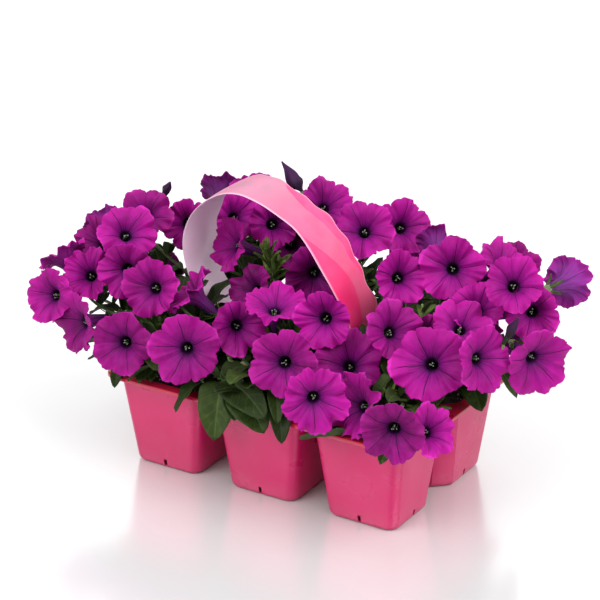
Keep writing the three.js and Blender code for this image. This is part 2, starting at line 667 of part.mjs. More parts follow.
// One leaf of the spiral: it starts in the heart and reaches past it, low leaves level, high ones upright.
function spiralLeaf(plant, index, loose) {
  const level = (index + 0.5) / LEAVES_PER_PLANT;
  const turn = index * GOLDEN_TURN + random(-loose, loose);
  const rise = THREE.MathUtils.lerp(-0.05, 1.15, level ** 1.4) + random(-0.2, 0.2) * loose;
  const out = direction(turn, rise);
  const root = plant.heart.clone().add(out.clone().multiply(CORE_RADII).multiplyScalar(0.6));
  const length = random(44, 54) * (1 - 0.12 * loose);
  const tip = root.clone().addScaledVector(out, length);
  tip.z -= 8 * (1 - level);
  return { root, tip, width: random(19, 25), arch: random(4, 8) };
}

function nearestPlants(plants, bloom) {
  const away = (plant) => plant.heart.distanceTo(bloom.base);
  return plants.slice().sort((a, b) => away(a) - away(b));
}

function growPlants(blooms, solids) {
  const petals = blooms.map((bloom) => bloom.solid);
  const funnels = blooms.map(buildFunnel);
  const plants = CELLS.map((cell) => startPlant(cell, [...funnels, solids[0]]));
  const foreign = (plant) => plants.filter((other) => other !== plant).flatMap((other) => other.pieces);
  for (const bloom of blooms) {
    const order = nearestPlants(plants, bloom).slice(0, PLANTS_TRIED);
    order.some((plant) => addStalk(plant, bloom, [...petals, ...solids, ...foreign(plant)]));
  }
  for (const leaf of RIM_LEAVES) {
    const plant = plants.find(({ cell }) => cell.name === leaf.plant);
    const [root, tip] = [leaf.root, leaf.tip].map((spot) => new THREE.Vector3(...spot));
    const blade = { ...leaf, root: insideHeart(plant, root), tip };
    addLeaf(plant, blade, [...petals, ...solids, ...foreign(plant)]);
  }
  for (const plant of plants) {
    const obstacles = [...petals, ...solids, ...foreign(plant)];
    for (let index = 0; index < LEAVES_PER_PLANT; index += 1) {
      for (let tries = 0; tries < LEAF_TRIES; tries += 1) {
        const own = tries < LEAF_TRIES / 2 ? plant.leaves : [];
        const loose = tries / (LEAF_TRIES / 2);
        if (addLeaf(plant, spiralLeaf(plant, index, loose), [...obstacles, ...own])) break;
      }
    }
  }
  return plants;
}

// ---------------------------------------------------------------- the whole pack
const group = new THREE.Group();

function place(name, solid, color, roughness) {
  const material = new THREE.MeshStandardMaterial({ color, roughness, metalness: 0 });
  const mesh = new THREE.Mesh(toGeometry(solid.simplify(SLIVER)), material);
  mesh.name = name;
  group.add(mesh);
}

const tray = buildTray();
const strapGuard = buildStrap(STRAP_THICKNESS + 2 * GAP);
const soils = CELLS.map(buildSoil);
const blooms = [...BLOOMS, ...farBlooms()].map(buildBloom);
const plants = growPlants(blooms, [strapGuard, tray, ...soils]);

place('cell_tray', tray, PINK, 0.35);
place('strap_handle', buildStrap(), STRAP_PINK, 0.35);
CELLS.forEach((cell, k) => place(`soil_${cell.name}`, soils[k], SOIL_BROWN, 0.95));
for (const { cell, pieces } of plants) place(`plant_${cell.name}`, largest(fuse(pieces)), LEAF_GREEN, 0.7);
for (const bunch of gather(blooms)) {
  place(`bloom_${bunch[0].name}`, fuse(bunch.map((bloom) => bloom.solid)), PETAL_MAGENTA, 0.6);
}
export default group;
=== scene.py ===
# Petunias in bloom in a six-cell bedding pack with a strap handle, as finished surfaces over the packed
# frame. Lengths are in millimetres until a mesh is made. X runs along the three cells, Z up, and the camera
# stands on the +X, -Y side.
import math

import bpy
import numpy as np
from mathutils import Matrix, Vector


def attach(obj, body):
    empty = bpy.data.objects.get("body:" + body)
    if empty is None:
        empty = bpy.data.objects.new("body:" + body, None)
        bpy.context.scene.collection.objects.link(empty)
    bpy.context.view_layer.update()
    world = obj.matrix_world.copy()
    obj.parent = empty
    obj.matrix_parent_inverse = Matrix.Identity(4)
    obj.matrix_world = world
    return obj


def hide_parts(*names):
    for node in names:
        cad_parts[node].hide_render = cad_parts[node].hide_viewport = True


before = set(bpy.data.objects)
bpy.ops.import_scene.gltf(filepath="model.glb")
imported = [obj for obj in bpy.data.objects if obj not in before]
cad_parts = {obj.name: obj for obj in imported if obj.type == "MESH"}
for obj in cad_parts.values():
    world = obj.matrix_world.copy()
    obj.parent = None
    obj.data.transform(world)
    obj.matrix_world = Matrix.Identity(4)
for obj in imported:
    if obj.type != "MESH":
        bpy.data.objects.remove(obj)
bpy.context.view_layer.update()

MM = 0.001
GOLDEN_TURN = math.pi * (3 - math.sqrt(5))

# ---------------------------------------------------------------- the pack's driving dimensions
COLUMN_PITCH = 88
ROW_PITCH = 79.5
CELL_FOOT = 59
CELL_MOUTH = 76.8
TRAY_HEIGHT = 77
WALL = 1.2
FLANGE_LENGTH = 271
FLANGE_DEPTH = 171.6
FLANGE_LIP = 3
CORNER_ROUND = 9
INNER_CHAMFER = 12
DRAIN_WIDTH = 2.8
DRAIN_TOP = 7.5
DRAIN_BOTTOM = 2
GAP = 0.3
SOIL_TOP = 68
STEM_FOOT = 46
STRAP_THICKNESS = 0.8
STRAP_FOOT_X = 44
TAB_HALF = 15.5
BARB_HALF = 18
HEART_HEIGHT = 102
HEART_SPREAD = (1.04, 1.12)

LOBE_NOTCH = 0.85
THROAT_RADIUS = 4.8
THROAT_DEPTH = 9.5
TUBE_LENGTH = 34
RIM_WAVE = 1.4
RIM_CURL = 1.5
NOTCH_DIP = 2.2
PETAL_SHEET = 0.5
SEED = 20
SOIL_DRAWS = 60  # taken from the seeded draw before the first bloom

# ---------------------------------------------------------------- camera
CAMERA_AZIMUTH = 31.87  # degrees round from -Y towards +X
CAMERA_ELEVATION = 22.84
CAMERA_TARGET_HEIGHT = 60
CAMERA_ASIDE = -6.25
CAMERA_RISE = 71.52
CAMERA_DISTANCE = 1843.3
FOCAL_PIXELS = 2364.46  # focal length for a picture 600 pixels wide
PICTURE_PIXELS = 600
SENSOR_MM = 36


def camera_axes():
    turn, rise = math.radians(CAMERA_AZIMUTH), math.radians(CAMERA_ELEVATION)
    right = Vector((math.cos(turn), math.sin(turn), 0))
    back = Vector((math.sin(turn) * math.cos(rise), -math.cos(turn) * math.cos(rise), math.sin(rise)))
    return right, back.cross(right), back


TO_CAMERA = np.array(camera_axes()[2])


# ---------------------------------------------------------------- helpers for forms
class Draw:
    """The random draw that the pack's own source makes, so that each bloom turns out the same here."""

    def __init__(self, seed):
        self.state = seed

    def __call__(self, low=0.0, high=1.0):
        self.state = (self.state * 1664525 + 1013904223) % 4294967296
        return low + (high - low) * self.state / 4294967296


def unit(vector):
    return vector / max(np.linalg.norm(vector), 1e-9)


def direction(turn, rise):
    return np.array((math.cos(turn) * math.cos(rise), math.sin(turn) * math.cos(rise), math.sin(rise)))


def circle(radius, turn, height, squash=1.0):
    """Points round the Z axis, at the given turns."""
    radius, height = np.broadcast_to(radius, turn.shape), np.broadcast_to(height, turn.shape)
    return np.stack([radius * np.cos(turn), radius * np.sin(turn) * squash, height], -1)


def smooth(low, high, value):
    t = np.clip((value - low) / (high - low), 0, 1)
    return t * t * (3 - 2 * t)


class Form:
    """Closed skins gathered into one mesh, with four values at each point for the materials to read."""

    def __init__(self):
        self.points = []
        self.quads = []
        self.triangles = []
        self.values = []
        self.count = 0

    def loft(self, rings, values=(0, 0, 0, 0), ink=0, ends=None):
        """A skin through rings of points (rows, points in a ring, 3), closed at both ends by a point."""
        rings = np.asarray(rings, float)
        rows, ring = rings.shape[:2]
        tips = [rings[0].mean(0), rings[-1].mean(0)] if ends is None else ends
        points = np.concatenate([rings.reshape(-1, 3), np.asarray(tips)])
        values = np.broadcast_to(np.asarray(values, float), (rows, ring, 4))
        shades = np.concatenate([values.reshape(-1, 4), [values[0].mean(0), values[-1].mean(0)]])
        row = np.arange(rows - 1)[:, None] * ring
        here = np.arange(ring)[None, :]
        after = (here + 1) % ring
        quads = np.stack([row + here, row + after, row + ring + after, row + ring + here], -1).reshape(-1, 4)
        around = np.arange(ring)
        ahead = (around + 1) % ring
        last = (rows - 1) * ring
        first_fan = np.stack([np.full(ring, rows * ring), ahead, around], -1)
        last_fan = np.stack([np.full(ring, rows * ring + 1), last + around, last + ahead], -1)
        triangles = np.concatenate([first_fan, last_fan])
        halves = np.concatenate([quads[:, [0, 1, 2]], quads[:, [0, 2, 3]], triangles])
        corner = points[halves] - points[0]
        if np.einsum("ij,ij->", corner[:, 0], np.cross(corner[:, 1], corner[:, 2])) < 0:
            quads, triangles = quads[:, ::-1], triangles[:, ::-1]
        self.quads.append(np.column_stack([quads + self.count, np.full(len(quads), ink)]))
        self.triangles.append(np.column_stack([triangles + self.count, np.full(len(triangles), ink)]))
        self.points.append(points)
        self.values.append(shades)
        self.count += len(points)

    def tube(self, line, radii, sides=8, values=(0, 0, 0, 0), ink=0):
        """A round stem along a line of points."""
        line = np.asarray(line, float)
        along = np.gradient(line, axis=0)
        along /= np.maximum(np.linalg.norm(along, axis=1, keepdims=True), 1e-9)
        across = np.cross(along, (0.31, 0.27, 0.91))
        across /= np.maximum(np.linalg.norm(across, axis=1, keepdims=True), 1e-9)
        over = np.cross(along, across)
        turn = np.arange(sides) * 2 * math.pi / sides
        radii = np.broadcast_to(np.asarray(radii, float), (len(line),))[:, None, None]
        spokes = across[:, None] * np.cos(turn)[None, :, None] + over[:, None] * np.sin(turn)[None, :, None]
        self.loft(line[:, None] + radii * spokes, values, ink)

    def piece(self, name, slot, materials, nodes=(), sharp=None):
        """The mesh as a Blender object that rides on the pack and stands for the given CAD nodes."""
        points = np.concatenate(self.points) * MM
        quads = np.concatenate(self.quads)
        triangles = np.concatenate(self.triangles)
        mesh = bpy.data.meshes.new(name)
        mesh.vertices.add(len(points))
        mesh.vertices.foreach_set("co", points.ravel())
        corners = np.concatenate([quads[:, :4].ravel(), triangles[:, :3].ravel()])
        mesh.loops.add(len(corners))
        mesh.loops.foreach_set("vertex_index", corners.astype(np.int32))
        starts = np.concatenate([np.arange(len(quads)) * 4, len(quads) * 4 + np.arange(len(triangles)) * 3])
        mesh.polygons.add(len(starts))
        mesh.polygons.foreach_set("loop_start", starts.astype(np.int32))
        inks = np.concatenate([quads[:, 4], triangles[:, 3]]).astype(np.int32)
        for material in materials:
            mesh.materials.append(material)
        mesh.polygons.foreach_set("material_index", inks)
        mesh.update(calc_edges=True)
        mesh.shade_smooth()
        if sharp is not None:
            mesh.set_sharp_from_angle(angle=math.radians(sharp))
        values = np.concatenate(self.values)
        spot = mesh.attributes.new("spot", "FLOAT_VECTOR", "POINT")
        spot.data.foreach_set("vector", np.ascontiguousarray(values[:, :3]).ravel())
        kind = mesh.attributes.new("kind", "FLOAT", "POINT")
        kind.data.foreach_set("value", np.ascontiguousarray(values[:, 3]))
        return show(mesh, name, nodes)


def put_in_scene(name, data):
    thing = bpy.data.objects.new(name, data)
    bpy.context.scene.collection.objects.link(thing)
    return thing


def show(mesh, name, nodes=()):
    piece = put_in_scene(name, mesh)
    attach(piece, "root")
    if nodes:
        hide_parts(*nodes)
    return piece


# ---------------------------------------------------------------- helpers for materials
class Nodes:
    """Short calls that add nodes to a tree."""

    def __init__(self, tree):
        self.tree = tree

    def put(self, socket, value):
        if isinstance(value, bpy.types.NodeSocket):
            self.tree.links.new(value, socket)
        elif isinstance(value, tuple) and len(value) == 3 and socket.type == "RGBA":
            socket.default_value = (*value, 1)
        else:
            socket.default_value = value

    def add(self, kind, inputs, **settings):
        node = self.tree.nodes.new(kind)
        for key, value in settings.items():
            setattr(node, key, value)
        for key, value in inputs.items():
            self.put(node.inputs[key], value)
        return node

    def parts(self, vector):
        return self.add("ShaderNodeSeparateXYZ", {0: vector}).outputs

    def spot(self):
        """The first three values that the form's points carry."""
        return self.parts(self.add("ShaderNodeAttribute", {}, attribute_name="spot").outputs["Vector"])

    def kind(self):
        """The fourth value."""
        return self.add("ShaderNodeAttribute", {}, attribute_name="kind").outputs["Fac"]

    def math(self, operation, *values):
        return self.add("ShaderNodeMath", dict(enumerate(values)), operation=operation).outputs[0]

    def times(self, first, second):
        return self.math("MULTIPLY", first, second)

    def plus(self, first, second):
        return self.math("ADD", first, second)

    def largest(self, first, *others):
        for other in others:
            first = self.math("MAXIMUM", first, other)
        return first

    def step(self, value, low, high, start=0.0, end=1.0):
        inputs = {"Value": value, "From Min": low, "From Max": high, "To Min": start, "To Max": end}
        return self.add("ShaderNodeMapRange", inputs, interpolation_type="SMOOTHSTEP").outputs[0]

    def noise(self, scale, detail=2.0, vector=None, roughness=0.5):
        inputs = {"Scale": scale, "Detail": detail, "Roughness": roughness}
        place = vector or self.add("ShaderNodeTexCoord", {}).outputs["Object"]
        return self.add("ShaderNodeTexNoise", {**inputs, "Vector": place}).outputs["Fac"]

    def mix(self, share, first, second, blend="MIX"):
        node = self.tree.nodes.new("ShaderNodeMix")
        node.data_type = "RGBA"
        node.blend_type = blend
        self.put(node.inputs[0], share)
        self.put(node.inputs[6], first)
        self.put(node.inputs[7], second)
        return node.outputs[2]

    def ramp(self, value, stops):
        node = self.add("ShaderNodeValToRGB", {"Fac": value})
        elements = node.color_ramp.elements
        while len(elements) < len(stops):
            elements.new(0.5)
        for element, (place, colour) in zip(elements, stops):
            element.position = place
            element.color = (*colour, 1)
        return node.outputs["Color"]


class Paint(Nodes):
    """A material: one Principled shader, with nodes in front of it."""

    def __init__(self, name, **sockets):
        self.material = bpy.data.materials.new(name)
        self.material.use_nodes = True
        super().__init__(self.material.node_tree)
        self.shader = self.tree.nodes["Principled BSDF"]
        for socket, value in sockets.items():
            self.shader.inputs[socket.replace("_", " ")].default_value = value

    def finish(self, colour=None, roughness=None, bump=None, strength=0.3, distance=0.0005):
        if colour is not None:
            self.put(self.shader.inputs["Base Color"], colour)
        if roughness is not None:
            self.put(self.shader.inputs["Roughness"], roughness)
        if bump is not None:
            inputs = {"Height": bump, "Strength": strength, "Distance": distance}
            self.put(self.shader.inputs["Normal"], self.add("ShaderNodeBump", inputs).outputs[0])
        return self.material


def petal_paint():
    """Velvety magenta: spot holds the place in the face as shares of its radius and the tone there, partly
    its own and partly painted light and shade, and kind is 0 on the face and up to 1, for lilac, on the back
    and tube."""
    paint = Paint("petal_velvet", Roughness=0.55, Sheen_Weight=0.06, Sheen_Roughness=0.35,
                  Sheen_Tint=(1.0, 0.3, 0.9, 1), Specular_IOR_Level=0.1)
    times, step = paint.times, paint.step
    x, y, tone = paint.spot()
    out = paint.math("SQRT", paint.plus(times(x, x), times(y, y)))
    mottle = paint.noise(150, 3)
    wander = times(paint.math("SUBTRACT", paint.noise(90, 2), 0.5), 0.5)
    turn = paint.plus(paint.math("ARCTAN2", y, x), times(wander, 0.35))
    lobe = times(turn, 2.5)
    rib = times(paint.math("ABSOLUTE", paint.math("COSINE", lobe)), out)
    seam = times(paint.math("ABSOLUTE", paint.math("SINE", lobe)), out)
    fork = paint.math("ABSOLUTE", paint.math("SUBTRACT", rib, times(out, 0.32)))
    ray = step(paint.math("SINE", times(turn, 25)), 0.6, 1.0)
    fine = step(paint.math("SINE", times(turn, 55)), 0.5, 1.0)
    veins = paint.largest(times(step(rib, 0.018, 0.046, 1, 0), step(out, 0.7, 0.97, 1, 0.2)),
                          times(step(seam, 0.01, 0.032, 1, 0), step(out, 0.3, 0.85, 0.6, 0.1)),
                          times(step(fork, 0.006, 0.022, 1, 0), step(out, 0.35, 0.9, 0.55, 0.05)),
                          times(ray, step(out, 0.16, 0.6, 0.8, 0)),
                          times(fine, step(out, 0.3, 1.0, 0.2, 0.04)))
    # Near black in the throat: partly the throat's own dark colour, partly painted shade deep in the tube.
    face = paint.ramp(paint.plus(out, times(wander, 0.1)), [
        (0.0, (0.001, 0.001, 0.002)), (0.12, (0.004, 0.001, 0.01)), (0.17, (0.035, 0.003, 0.055)),
        (0.23, (0.12, 0.004, 0.115)), (0.34, (0.21, 0.003, 0.155)), (0.75, (0.28, 0.003, 0.175)),
        (0.96, (0.33, 0.005, 0.205)), (1.0, (0.42, 0.014, 0.28))])
    under = paint.ramp(out, [(0.0, (0.08, 0.02, 0.1)), (0.25, (0.12, 0.02, 0.15)),
                             (0.6, (0.16, 0.016, 0.17)), (1.0, (0.24, 0.012, 0.19))])
    colour = paint.mix(paint.kind(), face, under)
    colour = paint.mix(times(veins, 0.86), colour, (0.035, 0.001, 0.035))
    # The tone lightens or darkens the colour: partly the bloom's own tone, partly painted light and shade.
    shade = paint.plus(paint.plus(tone, step(mottle, 0.25, 0.75, -0.13, 0.13)), 1.0)
    grey = paint.add("ShaderNodeCombineColor", {0: shade, 1: shade, 2: shade}).outputs[0]
    colour = paint.mix(1.0, colour, grey, "MULTIPLY")
    relief = paint.plus(times(veins, -1.0), times(mottle, 0.6))
    return paint.finish(colour, None, relief, 0.4, 0.0006)


def bud_paint():
    """Furled petals: green at the foot and dark purple towards the tip, which kind measures."""
    paint = Paint("bud_furled", Roughness=0.6, Specular_IOR_Level=0.15)
    streak = paint.noise(260, 2)
    share = paint.plus(paint.kind(), paint.step(streak, 0.3, 0.7, -0.15, 0.15))
    colour = paint.ramp(share, [(0.0, (0.035, 0.06, 0.014)), (0.3, (0.018, 0.014, 0.016)),
                                (1.0, (0.032, 0.004, 0.042))])
    return paint.finish(colour, None, streak, 0.4, 0.0004)


def leaf_paint():
    """Matte green: spot holds across (-1 to 1), along (0 to 1) and the leaf's own tone, and kind is 1
    beneath."""
    paint = Paint("leaf_matte", Roughness=0.5, Specular_IOR_Level=0.14)
    times, step = paint.times, paint.step
    across, along, tone = paint.spot()
    from_rib = paint.math("ABSOLUTE", across)
    rib = step(from_rib, 0.03, 0.1, 1, 0)
    slant = paint.math("SUBTRACT", times(along, 44), times(from_rib, 9))
    side = times(step(paint.math("SINE", slant), 0.82, 1.0), step(from_rib, 0.5, 1.0, 0.5, 0.1))
    nerves = paint.largest(rib, side)
    green = paint.ramp(paint.plus(tone, step(paint.noise(220, 3), 0.2, 0.8, -0.12, 0.12)), [
        (0.0, (0.005, 0.009, 0.002)), (0.45, (0.014, 0.025, 0.004)), (0.75, (0.03, 0.052, 0.008)),
        (1.0, (0.1, 0.14, 0.022))])
    pale = paint.mix(1.0, green, (1.9, 1.9, 1.9), "MULTIPLY")
    pale = paint.mix(0.25, pale, (0.1, 0.15, 0.05))
    lines = paint.largest(nerves, step(from_rib, 0.9, 1.0, 0, 0.55))
    colour = paint.mix(times(lines, 0.6), green, pale)
    colour = paint.mix(times(paint.kind(), 0.4), colour, (0.045, 0.07, 0.025))
    relief = paint.plus(times(nerves, -1.0), times(paint.noise(900, 1), 0.5))
    return paint.finish(colour, None, relief, 0.4, 0.0006)


def stem_paint():
    """Pale green stems under short soft hair, purplish on the sunny side."""
    paint = Paint("stem_downy", Roughness=0.7, Sheen_Weight=0.6, Sheen_Roughness=0.35,
                  Sheen_Tint=(0.9, 1.0, 0.75, 1))
    blush = paint.step(paint.noise(60, 2), 0.45, 0.75)
    down = paint.noise(1400, 1)
    colour = paint.mix(blush, (0.085, 0.14, 0.032), (0.09, 0.045, 0.04))
    colour = paint.mix(paint.step(down, 0.5, 0.8, 0, 0.45), colour, (0.25, 0.3, 0.15))
    return paint.finish(colour, None, down, 0.5, 0.0004)


def anther_paint():
    """Powdery grey-lilac pollen sacs and the green tip of the style, told apart by kind."""
    paint = Paint("anther_pollen", Roughness=0.8)
    grain = paint.noise(2500, 1)
    powder = paint.mix(grain, (0.09, 0.09, 0.12), (0.24, 0.26, 0.22))
    colour = paint.mix(paint.kind(), powder, (0.12, 0.17, 0.06))
    return paint.finish(colour, None, grain, 0.4, 0.0002)


def tray_paint():
    """Thin moulded pink plastic: satin gloss, faint flow marks, a darker red lip with painted shade in a
    band just under it, and a little dust towards the foot.
    """
    paint = Paint("tray_moulded", Specular_IOR_Level=0.32, Coat_Roughness=0.15)
    place = paint.add("ShaderNodeTexCoord", {}).outputs["Object"]
    height = paint.parts(place)[2]
    flow = paint.noise(14, 4)
    colour = paint.mix(paint.step(flow, 0.3, 0.7), (0.43, 0.006, 0.083), (0.48, 0.008, 0.1))
    lip = paint.step(height, 0.0738, 0.0744)
    # Painted shade: a dark red band just under the lip, as if the lip shaded the wall below it.
    painted_shade_under_lip = paint.times(paint.step(height, 0.0712, 0.0738, 0, 0.5), paint.math("SUBTRACT", 1.0, lip))
    colour = paint.mix(painted_shade_under_lip, colour, (0.14, 0.002, 0.02))
    colour = paint.mix(paint.times(lip, 0.85), colour, (0.42, 0.006, 0.03))
    paint.put(paint.shader.inputs["Coat Weight"], paint.math("MULTIPLY_ADD", lip, 0.6, 0.06))
    dust = paint.times(paint.noise(420, 3), paint.step(height, 0, 0.02, 0.12, 0))
    colour = paint.mix(dust, colour, (0.5, 0.3, 0.32))
    gloss = paint.step(paint.noise(35, 3), 0.3, 0.7, 0.26, 0.38)
    return paint.finish(colour, gloss, paint.noise(60, 3), 0.1, 0.001)


def strap_paint():
    """Printed strap: spot holds how far, in millimetres, a point lies inside the hot pink of the far band
    and of the near band, and how pale the print is there, and kind is 1 on the bare inner face."""
    paint = Paint("strap_printed", Specular_IOR_Level=0.5, Coat_Weight=0.1, Coat_Roughness=0.25)
    far, near, crown = paint.spot()
    blotch = paint.step(paint.noise(75, 4), 0.35, 0.68)
    light = paint.mix(crown, (0.74, 0.07, 0.19), (0.42, 0.16, 0.25))
    light = paint.mix(paint.times(blotch, 0.3), light, (0.76, 0.15, 0.29))
    hot = paint.mix(paint.times(blotch, 0.45), (0.83, 0.022, 0.155), (0.84, 0.075, 0.24))
    colour = paint.mix(paint.step(far, -0.35, 0.35), light, hot)
    deep = paint.mix(paint.times(blotch, 0.35), (0.79, 0.02, 0.145), (0.82, 0.055, 0.2))
    colour = paint.mix(paint.step(near, -0.35, 0.35), colour, deep)
    bare = paint.mix(paint.noise(120, 2), (0.86, 0.62, 0.76), (0.9, 0.68, 0.82))
    colour = paint.mix(paint.kind(), colour, bare)
    gloss = paint.step(paint.noise(30, 2), 0.3, 0.7, 0.32, 0.45)
    return paint.finish(colour, gloss, paint.noise(45, 2), 0.06, 0.001)


def soil_paint():
    """Damp dark compost: crumbs, bark and a few pale grains of perlite, which kind marks."""
    paint = Paint("compost_damp", Roughness=0.9, Specular_IOR_Level=0.3)
    crumb = paint.noise(700, 4, roughness=0.7)
    colour = paint.ramp(crumb, [(0.3, (0.008, 0.005, 0.004)), (0.55, (0.04, 0.025, 0.016)),
                                (0.75, (0.11, 0.07, 0.045))])
    colour = paint.mix(paint.kind(), colour, paint.mix(crumb, (0.5, 0.47, 0.42), (0.75, 0.73, 0.7)))
    return paint.finish(colour, None, crumb, 0.8, 0.001)


# ---------------------------------------------------------------- tray
CELLS = []
for row, row_name in ((-1, "front"), (1, "back")):
    for column, column_name in ((-1, "left"), (0, "middle"), (1, "right")):
        CELLS.append((f"{row_name}_{column_name}", row, column))


def cell_centre(row, column):
    return np.array((column * COLUMN_PITCH, row * ROW_PITCH / 2, 0.0))


def outline(centre, half_x, half_y, cuts, height, inset=0.0, steps=8):
    """A rectangle whose corners are cut by the given sizes; each cut is (size, round)."""
    points = []
    for (sign_x, sign_y), (size, rounded) in zip(((1, -1), (1, 1), (-1, 1), (-1, -1)), cuts):
        cut = max(size - inset * 0.6, 0.5)
        cx = centre[0] + sign_x * (half_x - inset - cut)
        cy = centre[1] + sign_y * (half_y - inset - cut)
        start = math.atan2(sign_y, sign_x) - math.pi / 4
        for step in range(steps + 1):
            share = step / steps
            angle = start + math.pi / 2 * share
            spot = np.array((math.cos(angle), math.sin(angle)))
            if not rounded:
                ends = np.array(((math.cos(start), math.sin(start)), (-math.sin(start), math.cos(start))))
                straight = ends[0] * (1 - share) + ends[1] * share
                spot = straight * 0.88 + spot * 0.12
            points.append((cx + cut * spot[0], cy + cut * spot[1], height))
    return points


def cell_ring(row, column, height, inset):
    half = CELL_FOOT / 2 + (CELL_MOUTH - CELL_FOOT) / 2 * height / TRAY_HEIGHT
    outer, inner = (CORNER_ROUND, True), (INNER_CHAMFER, False)
    cuts = (outer, inner, inner, outer) if row < 0 else (inner, outer, outer, inner)
    return outline(cell_centre(row, column), half, half, cuts, height, inset)


def solid(name, forms):
    """A bare mesh object from a list of ring stacks, used for joining and cutting."""
    form = Form()
    for rings in forms:
        form.loft(rings)
    return form.piece(name, "tray_plastic", [])


def combine(target, tool, operation):
    modifier = target.modifiers.new("join", "BOOLEAN")
    modifier.object = tool
    modifier.operation = operation
    modifier.solver = "MANIFOLD"
    depsgraph = bpy.context.evaluated_depsgraph_get()
    mesh = bpy.data.meshes.new_from_object(target.evaluated_get(depsgraph))
    target.modifiers.clear()
    target.data = mesh
    bpy.data.objects.remove(tool)


def slot_box(centre, width, depth, low, high, rounded=0.8):
    cuts = [(rounded, True)] * 4
    return [outline(centre, width / 2, depth / 2, cuts, height, 0, 3) for height in (low, high)]


# Profiles, as pairs of height and inset.
RIM_FOOT = TRAY_HEIGHT - FLANGE_LIP
RIM = ((RIM_FOOT, 0.25), (RIM_FOOT + 0.3, 0), (TRAY_HEIGHT - 1.0, 0), (TRAY_HEIGHT - 0.3, 0.25),
       (TRAY_HEIGHT, 0.9))
UNDER_RIM = ((RIM_FOOT - 1, WALL), (TRAY_HEIGHT - WALL - 0.4, WALL), (TRAY_HEIGHT - WALL, WALL + 0.5))
CELL_OUTSIDE = ((0, 3.6), (0.25, 2.4), (0.9, 1.3), (1.9, 0.55), (3.2, 0.12), (5, 0), (TRAY_HEIGHT - 0.5, 0))
CELL_INSIDE = ((WALL, WALL + 3.4), (WALL + 0.8, WALL + 1.4), (WALL + 2.4, WALL + 0.3), (WALL + 5, WALL),
               (TRAY_HEIGHT - 1.6, WALL), (TRAY_HEIGHT - 0.5, WALL - 0.25), (TRAY_HEIGHT + 0.4, WALL - 1.0))
THROUGH = 10  # how far a drain slot's cutter reaches through the wall


def build_tray(paint):
    centre = np.zeros(3)
    round_cuts = [(CORNER_ROUND + 3, True)] * 4

    def flange_ring(height, inset):
        return outline(centre, FLANGE_LENGTH / 2, FLANGE_DEPTH / 2, round_cuts, height, inset, 10)

    tray = solid("tray_shell", [[flange_ring(*spot) for spot in RIM]])
    combine(tray, solid("hollow", [[flange_ring(*spot) for spot in UNDER_RIM]]), "DIFFERENCE")
    for name, profile, operation in (("outsides", CELL_OUTSIDE, "UNION"),
                                     ("insides", CELL_INSIDE, "DIFFERENCE")):
        cells = [[cell_ring(row, column, *spot) for spot in profile] for _, row, column in CELLS]
        combine(tray, solid(name, cells), operation)
    cuts = []
    for _, row, column in CELLS:
        middle = cell_centre(row, column)
        side = middle + (0, row * CELL_FOOT / 2, 0)
        cuts.append(slot_box(side, DRAIN_WIDTH, THROUGH, DRAIN_BOTTOM, DRAIN_TOP))
        if column:
            side = middle + (column * CELL_FOOT / 2, 0, 0)
            cuts.append(slot_box(side, THROUGH, DRAIN_WIDTH, DRAIN_BOTTOM, DRAIN_TOP))
    for side in (-1, 1):
        place = np.array((side * STRAP_FOOT_X, 0, 0))
        cuts.append(slot_box(place, STRAP_THICKNESS + 2 * GAP, 2 * (TAB_HALF + GAP), TRAY_HEIGHT - 3,
                             TRAY_HEIGHT + 3, 0.5))
    combine(tray, solid("slots", cuts), "DIFFERENCE")
    tray.data.materials.clear()
    tray.data.materials.append(paint)
    tray.data.shade_smooth()
    tray.data.set_sharp_from_angle(angle=math.radians(32))
    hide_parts("cell_tray")


# ---------------------------------------------------------------- strap handle
STRAP_LINE = ((-44, 62), (-44, 77), (-50, 92), (-66, 107), (-85, 124), (-96, 144), (-99, 165), (-97, 184),
              (-90, 200), (-77, 212.5), (-61, 221), (-45, 223.5), (-29, 219.5), (-13, 211.5), (3, 203),
              (18, 190), (31, 172), (41, 153), (50, 135), (51, 118), (48, 100), (44.4, 85), (44, 77),
              (44, 62))
STRAP_ROWS = 420
STRAP_COLUMNS = 25
STRAP_SHOULDERS = (70, 62)  # how far along from the left and from the right foot it widens
NEAR_EDGE = {"half": 23.7, "wave": 2.2, "crest": 300, "pace": 13.4}
FAR_EDGE = {"half": 21.3, "wave": 1.3, "crest": 244, "pace": 3.82}
CROWN = {"along": 185, "spread": 22, "swell": 3.5}
BARB = ((0, 9), (7, BARB_HALF), (11.5, BARB_HALF - 1), (12.2, TAB_HALF))
# Where the two hot pink bands of the print begin: distance along the strap, and across it as a share of its
# half width, towards the far edge.
FAR_BAND = ((0, 1.3), (218, 1.3), (224, 1.0), (230, 0.72), (243, 0.42), (255, 0.33), (267, 0.33),
            (279, 0.45), (292, 0.55), (305, 0.62), (317, 0.78), (323, 1.0), (328, 1.3), (500, 1.3))
NEAR_BAND = ((0, -1.3), (262, -1.3), (268, -1.0), (279, -0.76), (290, -0.5), (303, -0.2), (316, 0.02),
             (326, 0.13), (336, 0.02), (345, -0.14), (356, -0.28), (370, -0.35), (500, -0.35))
PRINT_HALF = 22  # the half width that a share across the print is turned into millimetres with
UNPRINTED = -9  # millimetres outside both bands
SHOULDER = (-4, 3)  # the stretch over which it widens, around each shoulder
FREE = (30, 110)  # from here to there along it, the strap begins to bow across
BOW = -0.9
SWAY = 0.4
PALE_CROWN = (214, 268)  # where the pale print over the crown gives way


